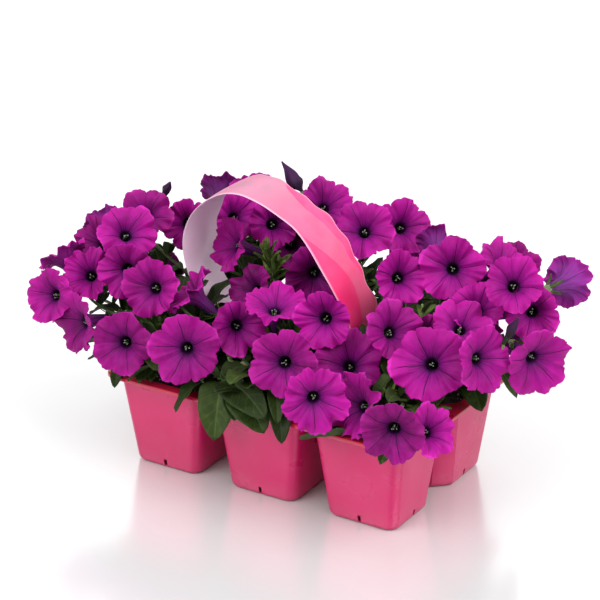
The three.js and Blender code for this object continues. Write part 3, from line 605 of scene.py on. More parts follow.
def centripetal(points, steps=60):
    """The smooth curve through points that the strap is bent along, with closely spaced samples."""
    points = [np.array(point, float) for point in points]
    padded = [2 * points[0] - points[1], *points, 2 * points[-1] - points[-2]]
    samples = []
    for k in range(len(points) - 1):
        p0, p1, p2, p3 = padded[k:k + 4]
        d0, d1, d2 = (math.sqrt(np.linalg.norm(b - a)) for a, b in ((p0, p1), (p1, p2), (p2, p3)))
        t1 = ((p1 - p0) / d0 - (p2 - p0) / (d0 + d1) + (p2 - p1) / d1) * d1
        t2 = ((p2 - p1) / d1 - (p3 - p1) / (d1 + d2) + (p3 - p2) / d2) * d1
        for step in range(steps):
            t = step / steps
            c2 = -3 * p1 + 3 * p2 - 2 * t1 - t2
            c3 = 2 * p1 - 2 * p2 + t1 + t2
            samples.append(p1 + t1 * t + c2 * t * t + c3 * t * t * t)
    samples.append(points[-1])
    return np.array(samples)


def strap_half_widths(along, length):
    """How far the strap reaches to its near (-Y) and its far edge at a distance along it."""
    from_end = min(along, length - along)
    if from_end < BARB[-1][0]:
        half = np.interp(from_end, *zip(*BARB))
        return half, half
    left, right = STRAP_SHOULDERS
    share = float(smooth(*SHOULDER, along - left) * smooth(*SHOULDER, length - along - right))
    near, far = (edge["half"] + edge["wave"] * math.cos((along - edge["crest"]) / edge["pace"])
                 for edge in (NEAR_EDGE, FAR_EDGE))
    far += CROWN["swell"] * math.exp(-(((along - CROWN["along"]) / CROWN["spread"]) ** 2))
    return TAB_HALF + (near - TAB_HALF) * share, TAB_HALF + (far - TAB_HALF) * share


def build_strap(paint):
    line = centripetal(STRAP_LINE)
    travelled = np.concatenate([[0], np.cumsum(np.linalg.norm(np.diff(line, axis=0), axis=1))])
    length = travelled[-1]
    barb = np.array([along for along, _ in BARB[1:]])
    spots = np.unique(np.concatenate([np.linspace(0, length, STRAP_ROWS), barb, length - barb]))
    rings, values = [], []
    share = np.linspace(-1, 1, STRAP_COLUMNS)
    for along in spots:
        here = np.array([np.interp(along, travelled, line[:, k]) for k in (0, 1)])
        ahead = np.array([np.interp(along + 1, travelled, line[:, k]) for k in (0, 1)])
        behind = np.array([np.interp(along - 1, travelled, line[:, k]) for k in (0, 1)])
        tangent = unit(ahead - behind)
        outward = np.array((-tangent[1], tangent[0]))
        near, far = strap_half_widths(along, length)
        y = np.where(share < 0, share * near, share * far)
        free = float(smooth(*FREE, min(along, length - along)))
        bow = BOW * free * share ** 2 + SWAY * free * math.sin(along / NEAR_EDGE["pace"]) * share
        thin = STRAP_THICKNESS / 2 * np.where(np.abs(share) > 0.999, 0.35, 1)
        faces = []
        for sign in (1, -1):
            lift = bow + sign * thin
            faces.append(np.stack([here[0] + outward[0] * lift, y, here[1] + outward[1] * lift], -1))
        rings.append(np.concatenate([faces[0], faces[1][::-1]]))
        far_mark = share - np.interp(along, *zip(*FAR_BAND))
        near_mark = np.interp(along, *zip(*NEAR_BAND)) - share
        pale = np.full(STRAP_COLUMNS, 1 - float(smooth(*PALE_CROWN, along)))
        outer = np.stack([far_mark * PRINT_HALF, near_mark * PRINT_HALF, pale,
                          np.where(np.abs(share) > 0.99, 0.5, 0)], -1)
        none = np.full(STRAP_COLUMNS, UNPRINTED)
        inner = np.stack([none, none, pale, np.ones(STRAP_COLUMNS)], -1)
        values.append(np.concatenate([outer, inner[::-1]]))
    form = Form()
    form.loft(rings, values)
    form.piece("strap_band", "strap_plastic", [paint], ["strap_handle"], sharp=50)


# ---------------------------------------------------------------- soil
MOUND = 2
CRUMBS = 230
PERLITE_IN = 4  # one crumb in this many is a grain of perlite
SOIL_SIDES = ((WALL + GAP, WALL + 3.6 + GAP), (WALL + 3, WALL + 1 + GAP), (WALL + 8, WALL + GAP),
              (60, WALL + GAP), (SOIL_TOP - 1, WALL + GAP))


def build_soil(cell, paint, rng):
    name, row, column = cell
    form = Form()
    centre = cell_centre(row, column)
    rings = [np.array(cell_ring(row, column, *spot)) for spot in SOIL_SIDES]
    top = np.array(cell_ring(row, column, SOIL_TOP, WALL + GAP))
    for share in np.linspace(0.985, 0.06, 26):
        ring = centre + (top - centre) * (share, share, 1)
        ring[:, 2] += MOUND * (1 - share) ** 0.7 + rng.normal(0, 0.45, len(ring))
        ring[:, :2] += rng.normal(0, 0.25, (len(ring), 2))
        rings.append(ring)
    form.loft(rings)
    half = CELL_MOUTH / 2 - 6
    for grain in range(CRUMBS):
        perlite = grain % PERLITE_IN == 0
        size = rng.uniform(0.5, 1.2) if perlite else rng.uniform(0.6, 2.2)
        spot = centre + (*rng.uniform(-half, half, 2), SOIL_TOP + 1.4)
        add_grain(form, spot, size, rng, 1.0 if perlite else 0.0)
    form.piece(f"compost_{name}", "soil", [paint], [f"soil_{name}"])


def add_grain(form, spot, size, rng, kind):
    """A crumb: a six-sided lump with uneven sides."""
    turn = rng.uniform(0, 2 * math.pi)
    angles = turn + np.arange(6) * math.pi / 3
    stretch = rng.uniform(0.5, 1.0)
    rings = []
    for height, wide in ((-0.8, 0.5), (0.0, 1.0), (0.6, 0.6)):
        radius = size * wide * rng.uniform(0.7, 1.15, 6)
        rings.append(circle(radius, angles, height * size * 0.8, stretch) + spot)
    form.loft(rings, (0, 0, 0, kind))


# ---------------------------------------------------------------- blooms
# Each bloom: name, x, y, z of the middle of its face, the way it looks (azimuth from +X and elevation, in
# degrees), and its width across.
BLOOMS = [
    ("left_top", -150, -1, 180, -53, 43, 44),
    ("left_upper", -141, -38, 178, -35, 45, 48),
    ("left_dark", -184, -21, 156, -95, 40, 44),
    ("left_mid", -130, -58, 153, -65, 10, 46),
    ("left_wide", -167, -57, 144, -72, 37, 44),
    ("left_tip", -193, -76, 126, -99, 18, 46),
    ("left_low", -160, -84, 112, -110, 5, 50),
    ("left_inner", -102, -65, 148, -84, 21, 48),
    ("left_rim", -107, -98, 113, -79, 16, 50),
    ("front_one", -49, -96, 120, -64, 12, 55),
    ("front_two", -20, -66, 135, -45, 17, 44),
    ("front_three", 34, -91, 127, -69, 17, 52),
    ("bright_left", -80, -46, 145, -157, 41, 46),
    ("mid_up", 2, -51, 154, -58, 68, 48),
    ("left_trumpet", -200, -48, 151, 171, 45, 42),
    ("left_lilac", -194, 3, 157, 150, 5, 40),
    ("behind_left", -130, 30, 162, -50, 10, 44),
    ("lilac_behind", -127, 77, 178, 110, 25, 44),
    ("crown_behind", -95, 72, 179, -58, 35, 46),
    ("arch_back_one", -93, 44, 174, -32, 32, 42),
    ("arch_front", -71, -2, 170, -122, 25, 46),
    ("arch_back_two", -57, 42, 175, -44, 24, 42),
    ("arch_back_three", -51, 59, 153, -46, 22, 40),
    ("arch_low", -40, -22, 148, -110, 35, 42),
    ("arch_right", 4, 6, 156, -47, 5, 50),
    ("top_one", -28, 72, 188, -41, 45, 44),
    ("top_two", 22, 46, 186, -63, 41, 48),
    ("top_three", 42, 74, 183, -36, 32, 46),
    ("top_lilac", 74, 76, 174, 100, 20, 42),
    ("tilt_right", 85, -6, 177, -42, 26, 42),
    ("right_big", 116, 16, 182, -62, 19, 50),
    ("right_far", 145, 47, 183, 2, 47, 44),
    ("right_dark", 133, 82, 166, -58, 30, 42),
    ("right_mid", 170, 10, 185, -60, 37, 46),
    ("right_lilac", 182, 79, 165, 85, -8, 42),
    ("right_edge", 179, 23, 160, -62, 23, 42),
    ("right_low", 199, -4, 134, -30, -3, 54),
    ("right_in", 143, 5, 163, -63, 47, 42),
    ("right_side", 143, -19, 158, -49, 55, 44),
    ("right_gap", 112, -18, 140, -58, 30, 32),
    ("mid_right", 101, -42, 151, -27, 31, 46),
    ("big_right", 137, -56, 138, -74, 26, 58),
    ("right_under", 174, -40, 144, -18, 14, 50),
    ("centre_one", 68, -52, 121, -63, 41, 54),
    ("centre_two", 45, -52, 150, -71, 15, 44),
    ("front_four", 72, -107, 112, -50, 3, 51),
    ("front_curl", 88, -78, 101, -106, 19, 50),
    ("front_five", 140, -114, 107, -69, 0, 48),
    ("front_six", 159, -88, 104, -23, 31, 40),
]
FAR_BANDS = ({"height": 110, "reach_x": 172, "reach_y": 116, "count": 6, "look": 5},
             {"height": 148, "reach_x": 156, "reach_y": 108, "count": 5, "look": 25})
FAR_START = 168  # degrees round from +X, where each band begins, and how far round it sweeps
FAR_SWEEP = 156
FAR_SQUARENESS = 0.6
FAR_LOOK = (150, 90)  # the blooms look out from the middle of an oval as wide and as deep
FAR_WIDTH = 50
# Blooms whose petals cross are one piece, named after the first of them.
SHARED = {"left_mid": "left_upper", "left_lilac": "left_dark", "left_low": "left_tip",
          "far_12": "behind_left", "far_21": "behind_left", "arch_back_one": "crown_behind",
          "right_mid": "right_far", "right_edge": "right_far", "far_25": "right_far",
          "right_side": "right_in", "centre_one": "mid_right", "far_22": "far_13",
          "far_23": "far_14", "far_24": "far_15"}
# How much lighter or darker a bloom is than the rest, partly its own tone and partly painted shade on blooms
# that sit in shadow, and how much more it is ruffled.
TONES_AND_SHADE = {"left_dark": -0.35, "left_low": -0.25, "arch_right": -0.2, "arch_back_three": -0.35,
         "left_mid": -0.2, "left_top": -0.12, "left_inner": -0.15, "left_rim": -0.18, "left_tip": -0.22,
         "behind_left": -0.2, "crown_behind": -0.1, "arch_back_two": -0.15, "arch_low": -0.3,
         "centre_one": -0.15, "right_dark": -0.3, "right_gap": -0.25, "bright_left": 0.1,
         "front_four": 0.1, "front_curl": 0.05, "left_wide": -0.05, "right_low": 0.08,
         "front_one": -0.3, "front_five": -0.3, "front_three": -0.12, "right_big": 0.15,
         "right_lilac": 0.2, "tilt_right": 0.1}
RUFFLES = {"front_four": 1.6, "front_curl": 2.2, "left_wide": 1.5, "bright_left": 1.5, "mid_up": 1.4}
LILAC_BACKS = ("left_lilac", "lilac_behind", "top_lilac", "right_lilac")
TURNS = 150  # points round a bloom
FACE_ROWS = 26
BACK_ROWS = 14
NICKS = ((7, 0.016), (13, 0.013), (21, 0.012), (33, 0.009), (49, 0.006))  # how many, how deep
RIPPLES = ((7, 1.6), (12, 1.15), (19, 0.7), (29, 0.32))  # up and down, in millimetres
LOBE_TILT = (-2.4, 2.0)
LOBE_DOME = 1.7
INSIDE_TUBE = ((1.5, -30), (2.2, -26), (2.9, -21), (3.6, -16.5), (4.3, -12.5))  # radius and height
OUTSIDE_TUBE = ((5.2, -15), (4.6, -19), (4.0, -23), (3.3, -27.5), (2.8, -31), (2.6, -33.5))
THROAT_SHARE = 0.1  # the share of the radius whose colour the inside of the tube has: near black, partly the throat's own dark colour and partly painted shade deep in the tube
BACK_KINDS = (0.5, 1.0)  # of most blooms, and of the lilac ones


class Bloom:
    def __init__(self, row, draw):
        self.name, *place, azimuth, elevation, self.width = row
        self.middle = np.array(place, float)
        turn, rise = math.radians(azimuth), math.radians(elevation)
        self.look = direction(turn, rise)
        facing = Vector((0, 0, 1)).rotation_difference(Vector(self.look)).to_matrix()
        spin = draw(0, 2 * math.pi)
        facing = np.array(facing)
        self.axis_x = facing @ (math.cos(spin), math.sin(spin), 0)
        self.axis_y = facing @ (-math.sin(spin), math.cos(spin), 0)
        curl = draw(-RIM_CURL, RIM_CURL)
        self.waves = np.array([(-NOTCH_DIP if k % 3 == 0 else 0) - curl + draw(-RIM_WAVE, RIM_WAVE)
                               for k in range(15)])
        self.reach = self.width / 2
        self.base = self.middle - self.look * TUBE_LENGTH

    def place(self, local):
        """Points of the bloom's own frame (x and y in its face, z the way it looks) in the pack's frame."""
        x, y, z = np.moveaxis(np.asarray(local, float), -1, 0)
        return (self.middle + x[..., None] * self.axis_x + y[..., None] * self.axis_y
                + z[..., None] * self.look)


def far_blooms(draw):
    rows = []
    for index, band in enumerate(FAR_BANDS):
        for k in range(band["count"]):
            turn = math.radians(FAR_START - FAR_SWEEP * (k + 0.5 * index) / (band["count"] - 0.5))
            x = band["reach_x"] * math.cos(turn) + draw(-5, 5)
            y = band["reach_y"] * math.sin(turn) ** FAR_SQUARENESS + draw(-4, 4)
            look = math.degrees(math.atan2(y / FAR_LOOK[1], x / FAR_LOOK[0]))
            z = band["height"] + draw(-5, 5)
            rows.append((f"far_{index + 1}{k + 1}", x, y, z, look, band["look"], FAR_WIDTH))
    return rows


def round_curve(heights, turns):
    """A smooth closed curve through heights that are evenly spaced round a turn."""
    count = len(heights)
    place = turns / (2 * math.pi) * count
    index = np.floor(place).astype(int)
    t = place - index
    a, b, c, d = (heights[(index + k) % count] for k in (-1, 0, 1, 2))
    return b + 0.5 * t * (c - a + t * (2 * a - 5 * b + 4 * c - d + t * (3 * (b - c) + d - a)))


def add_bloom(form, bloom, rng):
    """Five lobes joined into a funnel: the ruffled face, the tube that it sinks into, and their back."""
    turn = np.arange(TURNS) * 2 * math.pi / TURNS
    ruffle = RUFFLES.get(bloom.name, 1.0)
    lobe = np.abs(np.sin(2.5 * turn))
    phases = rng.uniform(0, 2 * math.pi, len(NICKS) + len(RIPPLES))
    from_lobe = (turn - math.pi / 5) % (2 * math.pi)
    sizes = round_curve(rng.uniform(-0.1, 0.05, 5), from_lobe)
    notch = LOBE_NOTCH + round_curve(rng.uniform(-0.09, 0.03, 5), turn)
    rim = notch + (1.02 - notch + sizes) * lobe ** rng.uniform(0.38, 0.6)
    for k, (count, size) in enumerate(NICKS):
        rim = rim + size * ruffle * np.sin(count * turn + phases[k])
    rim = bloom.reach * rim
    wave = round_curve(bloom.waves, turn) + ruffle * round_curve(rng.uniform(*LOBE_TILT, 5), from_lobe)
    # Painted light and shade: each lobe a little lighter or darker, as if lit differently where it bends.
    painted_lobe_shading = round_curve(rng.uniform(-0.14, 0.14, 5), from_lobe)
    for k, (count, size) in enumerate(RIPPLES):
        wave = wave + size * ruffle * np.sin(count * turn + phases[len(NICKS) + k])
    tone = TONES_AND_SHADE.get(bloom.name, 0.0) + rng.uniform(-0.14, 0.12) + painted_lobe_shading
    rings, values = [], []

    def row(radius, height, back, share=None):
        rings.append(circle(radius, turn, height))
        place = circle(radius / bloom.reach if share is None else share, turn, tone)
        values.append(np.column_stack([place, np.full(TURNS, back)]))

    def limb(t, drop, back):
        radius = THROAT_RADIUS + drop * 1.2 * (1 - t) + (rim - THROAT_RADIUS - drop * 1.2 * (1 - t)) * t
        flare = -(THROAT_DEPTH + drop * 2) * (1 - t) ** 2.45
        dome = LOBE_DOME * (lobe - 0.55) * math.sin(math.pi * min(t * 1.05, 1)) ** 1.3
        from_rib = np.abs(np.cos(2.5 * turn)) * radius / 2.5
        from_seam = lobe * radius / 2.5
        crease = -0.55 * np.exp(-((from_rib / 0.8) ** 2)) - 0.35 * np.exp(-((from_seam / 0.8) ** 2))
        crease = crease * float(smooth(0.05, 0.3, t)) * float(1 - 0.6 * smooth(0.7, 1, t))
        row(radius, flare + wave * t ** 2.1 + dome + crease - drop * PETAL_SHEET, back)

    for radius, height in INSIDE_TUBE:
        row(radius, height, 0.0, THROAT_SHARE)
    for t in np.linspace(0, 1, FACE_ROWS) ** 0.85:
        limb(t, 0.0, 0.0)
    back = BACK_KINDS[bloom.name in LILAC_BACKS]
    for t in np.linspace(0.995, 0, BACK_ROWS) ** 0.85:
        limb(t, 1.0, back)
    for radius, height in OUTSIDE_TUBE:
        row(radius, height, back)
    ends = np.array(((0, 0, -31.0), (0, 0, -TUBE_LENGTH)))
    form.loft(bloom.place(rings), values, 0, bloom.place(ends))
    add_stamens(form, bloom, rng)


def add_stamens(form, bloom, rng):
    """Thin filaments with pollen sacs round a style whose tip is green, deep in the throat."""
    for k in range(4):
        style = k == 3
        turn = k * 2 * math.pi / 3 + rng.uniform(-0.5, 0.5)
        out = 0.3 if style else rng.uniform(1.0, 2.0)
        top = -7.5 if style else rng.uniform(-11.0, -8.2)
        spot = np.array((out * math.cos(turn), out * math.sin(turn), top))
        foot = spot * (0.35, 0.35, 0) + (0, 0, -29)
        form.tube(bloom.place([foot, spot * (0.9, 0.9, 1) - (0, 0, 6), spot]), 0.22, 5, (0, 0, 0, 1), 1)
        size = 0.6 if style else 0.7
        rings = []
        for height, wide in ((-0.9, 0.55), (-0.4, 1.0), (0.3, 1.0), (0.8, 0.6)):
            angles = np.arange(7) * 2 * math.pi / 7
            rings.append(circle(size * wide, angles, size * height, 0.8) + spot)
        form.loft(bloom.place(rings), (0, 0, 0, 1.0 if style else 0.0), 1)


# ---------------------------------------------------------------- leaves, stems and buds
# Leaves over the rim: plant, root, tip, width, how high it arches, and how far it rolls over, in radians.
RIM_LEAVES = [
    ("front_left", (-118, -62, 92), (-166, -72, 89), 20, 5, 0.5),
    ("front_left", (-126, -70, 90), (-150, -84, 84), 13, 3, 0.4),
    ("front_left", (-134, -69, 81), (-161, -73, 98), 18, 4, 0.6),
    ("front_left", (-123, -79, 83), (-118, -93, 71), 9, 3, 0),
    ("front_left", (-76, -75, 94), (-106, -93, 79), 11, 6, 0.4),
    ("front_left", (-72, -74, 92), (-50, -89, 99), 17, 4, 0.6),
    ("front_left", (-47, -78, 88), (-59, -96, 66), 19, 5, 0.2),
    ("front_middle", (-30, -75, 91), (-22, -99, 53), 28, 8, 0),
    ("front_middle", (-33, -74, 92), (-48, -88, 104), 20, 3, 0.5),
    ("front_middle", (-31, -75, 94), (24, -99, 83), 26, 6, 0.75),
    ("front_middle", (-20, -75, 87), (21, -96, 69), 27, 5, 0.5),
    ("front_middle", (-22, -75, 85), (-7, -93, 71), 15, 3, 0),
    ("front_middle", (16, -72, 96), (32, -95, 79), 13, 8, 0),
    ("front_middle", (20, -75, 89), (37, -97, 65), 16, 6, 0),
    ("front_right", (86, -80, 79), (53, -99, 74), 15, 1, 0.8),
    ("back_right", (116, 34, 92), (150, 4, 79), 22, 6, 0.4),
    ("back_right", (118, 50, 96), (156, 50, 73), 23, 12, 0),
]
# Young shoots that stand up between the blooms: plant, tip, and how many small leaves crowd round it.
SHOOTS = [("front_middle", (-36, -2, 168), 16), ("front_middle", (-27, -8, 160), 14),
          ("front_left", (-85, -50, 134), 8), ("front_middle", (-24, -75, 112), 8),
          ("front_left", (-100, -60, 112), 11), ("back_right", (104, -8, 160), 10),
          ("front_right", (140, -60, 104), 11), ("back_right", (150, -20, 132), 9),
          ("back_middle", (24, 30, 150), 10), ("back_right", (76, 20, 160), 10),
          ("front_right", (110, -66, 106), 9)]
SHOOT_LEAF_LENGTHS = (13, 22)
CROWDED = 12  # with more leaves than this a shoot stands out in front of the blooms
# Closed buds: plant, base, tip, where along it the bud is widest and by how much it swells, how purple its
# foot is, and where its stem joins another one.
BUDS = [("back_left", (-152, 24, 183), (-142, 22, 200), 0.6, 2.2, 0, (-165, 19, 157)),
        ("back_middle", (-43, 60, 199), (-62, 60, 221), 0.3, 4.6, 0.5, None),
        ("back_right", (178, -20, 150), (190, -22, 174), 0.6, 2.2, 0, None),
        ("back_left", (-112, 96, 140), (-120, 112, 158), 0.6, 2.2, 0, None),
        ("back_middle", (20, 100, 150), (26, 114, 170), 0.6, 2.2, 0, None)]
BRANCHES = 8
BRANCH_REACH = (33, 30)
STALK_RADII = (1.15, 1.35)
HAIRS = 9  # on each stretch of a stem
LEAF_TRIES = 7
LOWEST_TIP = 62
BUSH_REACH = (206, 114)
LEAF_LENGTHS = (30, 46)
STALK_LEAF_LENGTHS = (20, 34)
LEAF_PLACES = (0.3, 0.42, 0.54, 0.66, 0.78, 0.9, 1.0)  # as shares of a branch


def leaf_outline(along, blunt=0.66, base=0.52):
    peak = base / (base + blunt)
    return (along ** base * (1 - along) ** blunt) / (peak ** base * (1 - peak) ** blunt)


class Leaf:
    """A pointed blade from root to tip that arches over and folds a little along its midrib."""

    def __init__(self, root, tip, width, arch, roll=0.0):
        self.root, self.tip = np.array(root, float), np.array(tip, float)
        self.width, self.arch, self.roll = width, arch, roll

    def frames(self, along):
        run = self.tip - self.root
        level = unit(np.array((run[0], run[1], 0)) + 1e-6)
        side = np.array((-level[1], level[0], 0))
        middle = self.root + run * along[:, None]
        middle[:, 2] += self.arch * 4 * along * (1 - along)
        slope = np.repeat(run[None], len(along), 0)
        slope[:, 2] += self.arch * 4 * (1 - 2 * along)
        slope /= np.linalg.norm(slope, axis=1, keepdims=True)
        over = np.cross(slope, side)
        over /= np.linalg.norm(over, axis=1, keepdims=True)
        turned = side * math.cos(self.roll) + over * math.sin(self.roll)
        lifted = over * math.cos(self.roll) - side * math.sin(self.roll)
        return middle, turned, lifted

    def samples(self):
        """A few points of the blade, to see what it would cover or run into."""
        along = np.linspace(0.3, 1, 6)
        middle, side, over = self.frames(along)
        half = (leaf_outline(np.minimum(along, 0.985)) * self.width / 2)[:, None]
        return np.concatenate([middle, middle + side * half, middle - side * half])

    def add(self, form, rng, rows=13, columns=9, tone=None):
        tone = rng.uniform(0.3, 0.68) if tone is None else tone
        phase = rng.uniform(0, 2 * math.pi, 2)
        along = np.linspace(0, 1, rows + 2)[1:-1]
        middle, side, over = self.frames(along)
        half = leaf_outline(along) * self.width / 2 + 0.25
        across = np.linspace(-1, 1, columns)
        open_part = np.minimum(1, half[:, None] / half.max() + 0.2)
        fold = self.width * 0.11 * np.abs(across)[None] ** 1.3 * open_part
        ripple = 0.045 * self.width * across[None] ** 2 * np.sin(
            along[:, None] * 15 + phase[0] + np.sign(across)[None] * phase[1])
        groove = -0.35 * np.exp(-(across[None] / 0.12) ** 2)
        lift = fold + ripple + groove
        spots = (middle[:, None] + side[:, None] * (across[None, :, None] * half[:, None, None])
                 + over[:, None] * lift[..., None])
        thick = 0.28 * np.where(np.abs(across) > 0.999, 0.2, 1)[None, :, None]
        top = spots + over[:, None] * thick
        bottom = spots - over[:, None] * (thick + 0.25 * np.exp(-(across / 0.1) ** 2)[None, :, None])
        rings = np.concatenate([top, bottom[:, ::-1]], 1)
        above, under = (np.stack(np.broadcast_arrays(across[None], along[:, None], tone, kind), -1)
                        for kind in (0.0, 1.0))
        form.loft(rings, np.concatenate([above, under[:, ::-1]], 1), 0, [self.root, self.tip])


def bezier(points, steps=12):
    t = np.linspace(0, 1, steps)[:, None]
    a, b, c, d = (np.asarray(point, float) for point in points)
    return a * (1 - t) ** 3 + 3 * b * t * (1 - t) ** 2 + 3 * c * t * t * (1 - t) + d * t ** 3


class Plant:
    def __init__(self, cell):
        self.name, row, column = cell
        self.middle = cell_centre(row, column)
        self.heart = self.middle * (*HEART_SPREAD, 1) + (0, 0, HEART_HEIGHT)
        self.form = Form()
        self.branches = []

    def grow_stems(self, rng):
        top = self.middle + (0, 0, 82)
        trunk = bezier([self.middle + (0, 0, STEM_FOOT), self.middle + (0, 0, 62), top, top + (0, 0, 8)])
        self.form.tube(trunk, np.linspace(2.6, 2.1, len(trunk)), 10, ink=1)
        for k in range(BRANCHES):
            turn = k * GOLDEN_TURN + rng.uniform(-0.2, 0.2)
            reach = 1 if k % 3 else 0.55
            rise = rng.uniform(0, 10) + (14 if k % 3 == 0 else 0)
            end = self.heart + (BRANCH_REACH[0] * reach * math.cos(turn),
                                BRANCH_REACH[1] * reach * math.sin(turn), rise - 2)
            start = self.middle + (0, 0, 72 + 1.8 * k)
            line = bezier([start, start + (8 * math.cos(turn), 8 * math.sin(turn), 5),
                           end - (10 * math.cos(turn), 10 * math.sin(turn), 14), end])
            self.branches.append(line)
            self.form.tube(line, np.linspace(1.9, 1.2, len(line)), 8, ink=1)

    def nearest(self, spot):
        """The point of the plant's branches that lies nearest to a spot, and the way that branch grows."""
        best = None
        for line in self.branches:
            gaps = np.linalg.norm(line[3:] - spot, axis=1)
            k = int(gaps.argmin())
            if best is None or gaps[k] < best[0]:
                best = (gaps[k], line[3 + k], unit(line[3 + k] - line[2 + k]))
        return best[1], best[2]

    def stalk(self, start, way, radii, rng):
        """A hairy stem from a start, which it leaves against the given way, back to the nearest branch."""
        end, growth = self.nearest(start - way * 12)
        pull = np.linalg.norm(end - start) * 0.4
        line = bezier([start, start - way * pull, end + growth * pull * 0.5 + (0, 0, 1), end], 16)
        self.form.tube(line, np.linspace(*radii, len(line)), 8, ink=1)
        add_hairs(self.form, line[:10], radii[0], rng)
        return line


def add_hairs(form, line, radius, rng):
    """Short soft hairs that stand out of a stem."""
    for k in range(len(line) - 1):
        along = unit(line[k + 1] - line[k])
        for _ in range(HAIRS):
            spot = line[k] + (line[k + 1] - line[k]) * rng.uniform()
            out = unit(np.cross(along, rng.normal(size=3)))
            root = spot + out * radius * 0.8
            tip = spot + out * (radius + rng.uniform(0.5, 1.0)) + along * rng.uniform(-0.2, 0.2)
            form.tube([root, tip], (0.1, 0.03), 3, ink=1)


def add_calyx(form, bloom, rng):
    """Five narrow sepals that hold the foot of the tube and spread at their tips."""
    cup = [bloom.place((0, 0, z - TUBE_LENGTH)) for z in (-5, -3, -0.5, 2.5)]
    form.tube(cup, (1.2, 2.2, 3.2, 3.3), 12, ink=1)
    for k in range(5):
        turn = (k + 0.5) * 2 * math.pi / 5 + rng.uniform(-0.1, 0.1)
        spread = rng.uniform(7.5, 11)
        rise = rng.uniform(10, 14)
        way = np.array((math.cos(turn), math.sin(turn), 0))
        across = np.array((-math.sin(turn), math.cos(turn), 0))
        along = np.linspace(0.04, 0.97, 8)
        middle = (way * (2.6 + (spread - 2.6) * along[:, None] ** 1.7)
                  + np.array((0, 0, 1)) * (-TUBE_LENGTH - 1 + rise * along[:, None] ** 0.9))
        half = (1.5 * leaf_outline(along, 0.6, 0.35))[:, None]
        side = np.array((1, 0.5, 0, -0.5, -1, 0))
        lift = (0, 0.35, 0.25, 0.35, 0, -0.25)
        rings = np.stack([middle + across * half * aside + way * up for aside, up in zip(side, lift)], 1)
        values = np.stack(np.broadcast_arrays(side[None], along[:, None], 0.75, 0.0), -1)
        ends = [way * 2.4 - (0, 0, TUBE_LENGTH + 1.5), way * spread + (0, 0, rise - TUBE_LENGTH - 1)]
        form.loft(bloom.place(rings), values, 0, bloom.place(ends))


def add_bud(form, base, tip, belly, girth, ripe, rng):
    """A furled bud: a slim spindle with five twisted folds, widest at the given share of its length."""
    base, tip = np.array(base, float), np.array(tip, float)
    axis = unit(tip - base)
    across = unit(np.cross(axis, (0.3, 0.2, 0.9)))
    over = np.cross(axis, across)
    turn = np.arange(20) * 2 * math.pi / 20
    rings, values = [], []
    for share in np.linspace(0, 0.98, 18):
        wide = 1.2 + girth * smooth(0, belly, share) - (girth + 0.9) * smooth(belly, 1.08, share)
        twisted = turn + share * 1.8
        radius = wide * (1 + 0.16 * np.cos(5 * turn))
        rings.append(base + (tip - base) * share + radius[:, None] * (
            np.cos(twisted)[:, None] * across + np.sin(twisted)[:, None] * over))
        purple = share + rng.uniform(-0.03, 0.03) + ripe
        values.append(np.broadcast_to((0, 0, 0, purple), (20, 4)))
    form.loft(rings, values, 0)


FACE_DEPTH = 3.5  # behind this a bloom counts as a funnel, and up to it as a flat face
FUNNEL_FOOT = 3.5
FACE_ROOM = 20
NEAR_ROOM = 2  # where a leaf may hide a face, but not touch it
SIDEWAYS = 0.12  # a face that looks less than this towards the camera isn't seen


class Canopy:
    """All blooms as arrays, to keep leaves out of the petals and from hiding the faces that show."""

    def __init__(self, blooms):
        self.middles = np.array([bloom.middle for bloom in blooms])
        self.looks = np.array([bloom.look for bloom in blooms])
        self.reaches = np.array([bloom.reach for bloom in blooms])
        self.facing = self.looks @ TO_CAMERA

    def is_clear(self, samples, may_hide=False):
        away = samples[:, None] - self.middles[None]
        height = np.einsum("ijk,jk->ij", away, self.looks)
        out = np.sqrt(np.maximum((away ** 2).sum(-1) - height ** 2, 0))
        in_front = (out < self.reaches + 1) & (height > -FACE_DEPTH) & (height < FACE_ROOM)
        share = np.clip((height + TUBE_LENGTH) / TUBE_LENGTH, 0, 1) ** 2.6
        funnel = FUNNEL_FOOT + (self.reaches - FUNNEL_FOOT) * share
        in_tube = (out < funnel) & (height > -TUBE_LENGTH) & (height <= -FACE_DEPTH)
        travel = height / np.where(np.abs(self.facing) > SIDEWAYS, self.facing, 1)
        seen = away - travel[..., None] * TO_CAMERA
        over_face = (seen ** 2).sum(-1) < (self.reaches * 0.93) ** 2
        hides = over_face & (travel > 0) & (self.facing > SIDEWAYS)
        if may_hide:
            return not ((in_front & (height < NEAR_ROOM)) | in_tube).any()
        return not (in_front | in_tube | hides).any()


def grow_leaf(plant, canopy, root, way, length, rng):
    """Tries a leaf along a way, then ways near it, and keeps the first that is clear of the blooms."""
    for attempt in range(LEAF_TRIES):
        loose = attempt / LEAF_TRIES
        aim = unit(way + rng.normal(0, 0.12 + 0.5 * loose, 3))
        size = length * (1 - 0.3 * loose)
        tip = root + aim * size - (0, 0, size * 0.12)
        if tip[2] < LOWEST_TIP or not leaf_allowed(tip):
            continue
        leaf = Leaf(root, tip, size * rng.uniform(0.42, 0.52), rng.uniform(2.5, 7), rng.normal(0, 0.25))
        if canopy.is_clear(leaf.samples()):
            leaf.add(plant.form, rng)
            return


def leaf_allowed(tip):
    """Within the bush, and above the rim where it is past the tray's edge."""
    outside = max(abs(tip[0]) - FLANGE_LENGTH / 2, abs(tip[1]) - FLANGE_DEPTH / 2)
    above_rim = outside < 0 or tip[2] > TRAY_HEIGHT - 4
    return above_rim and abs(tip[0]) < BUSH_REACH[0] and abs(tip[1]) < BUSH_REACH[1]


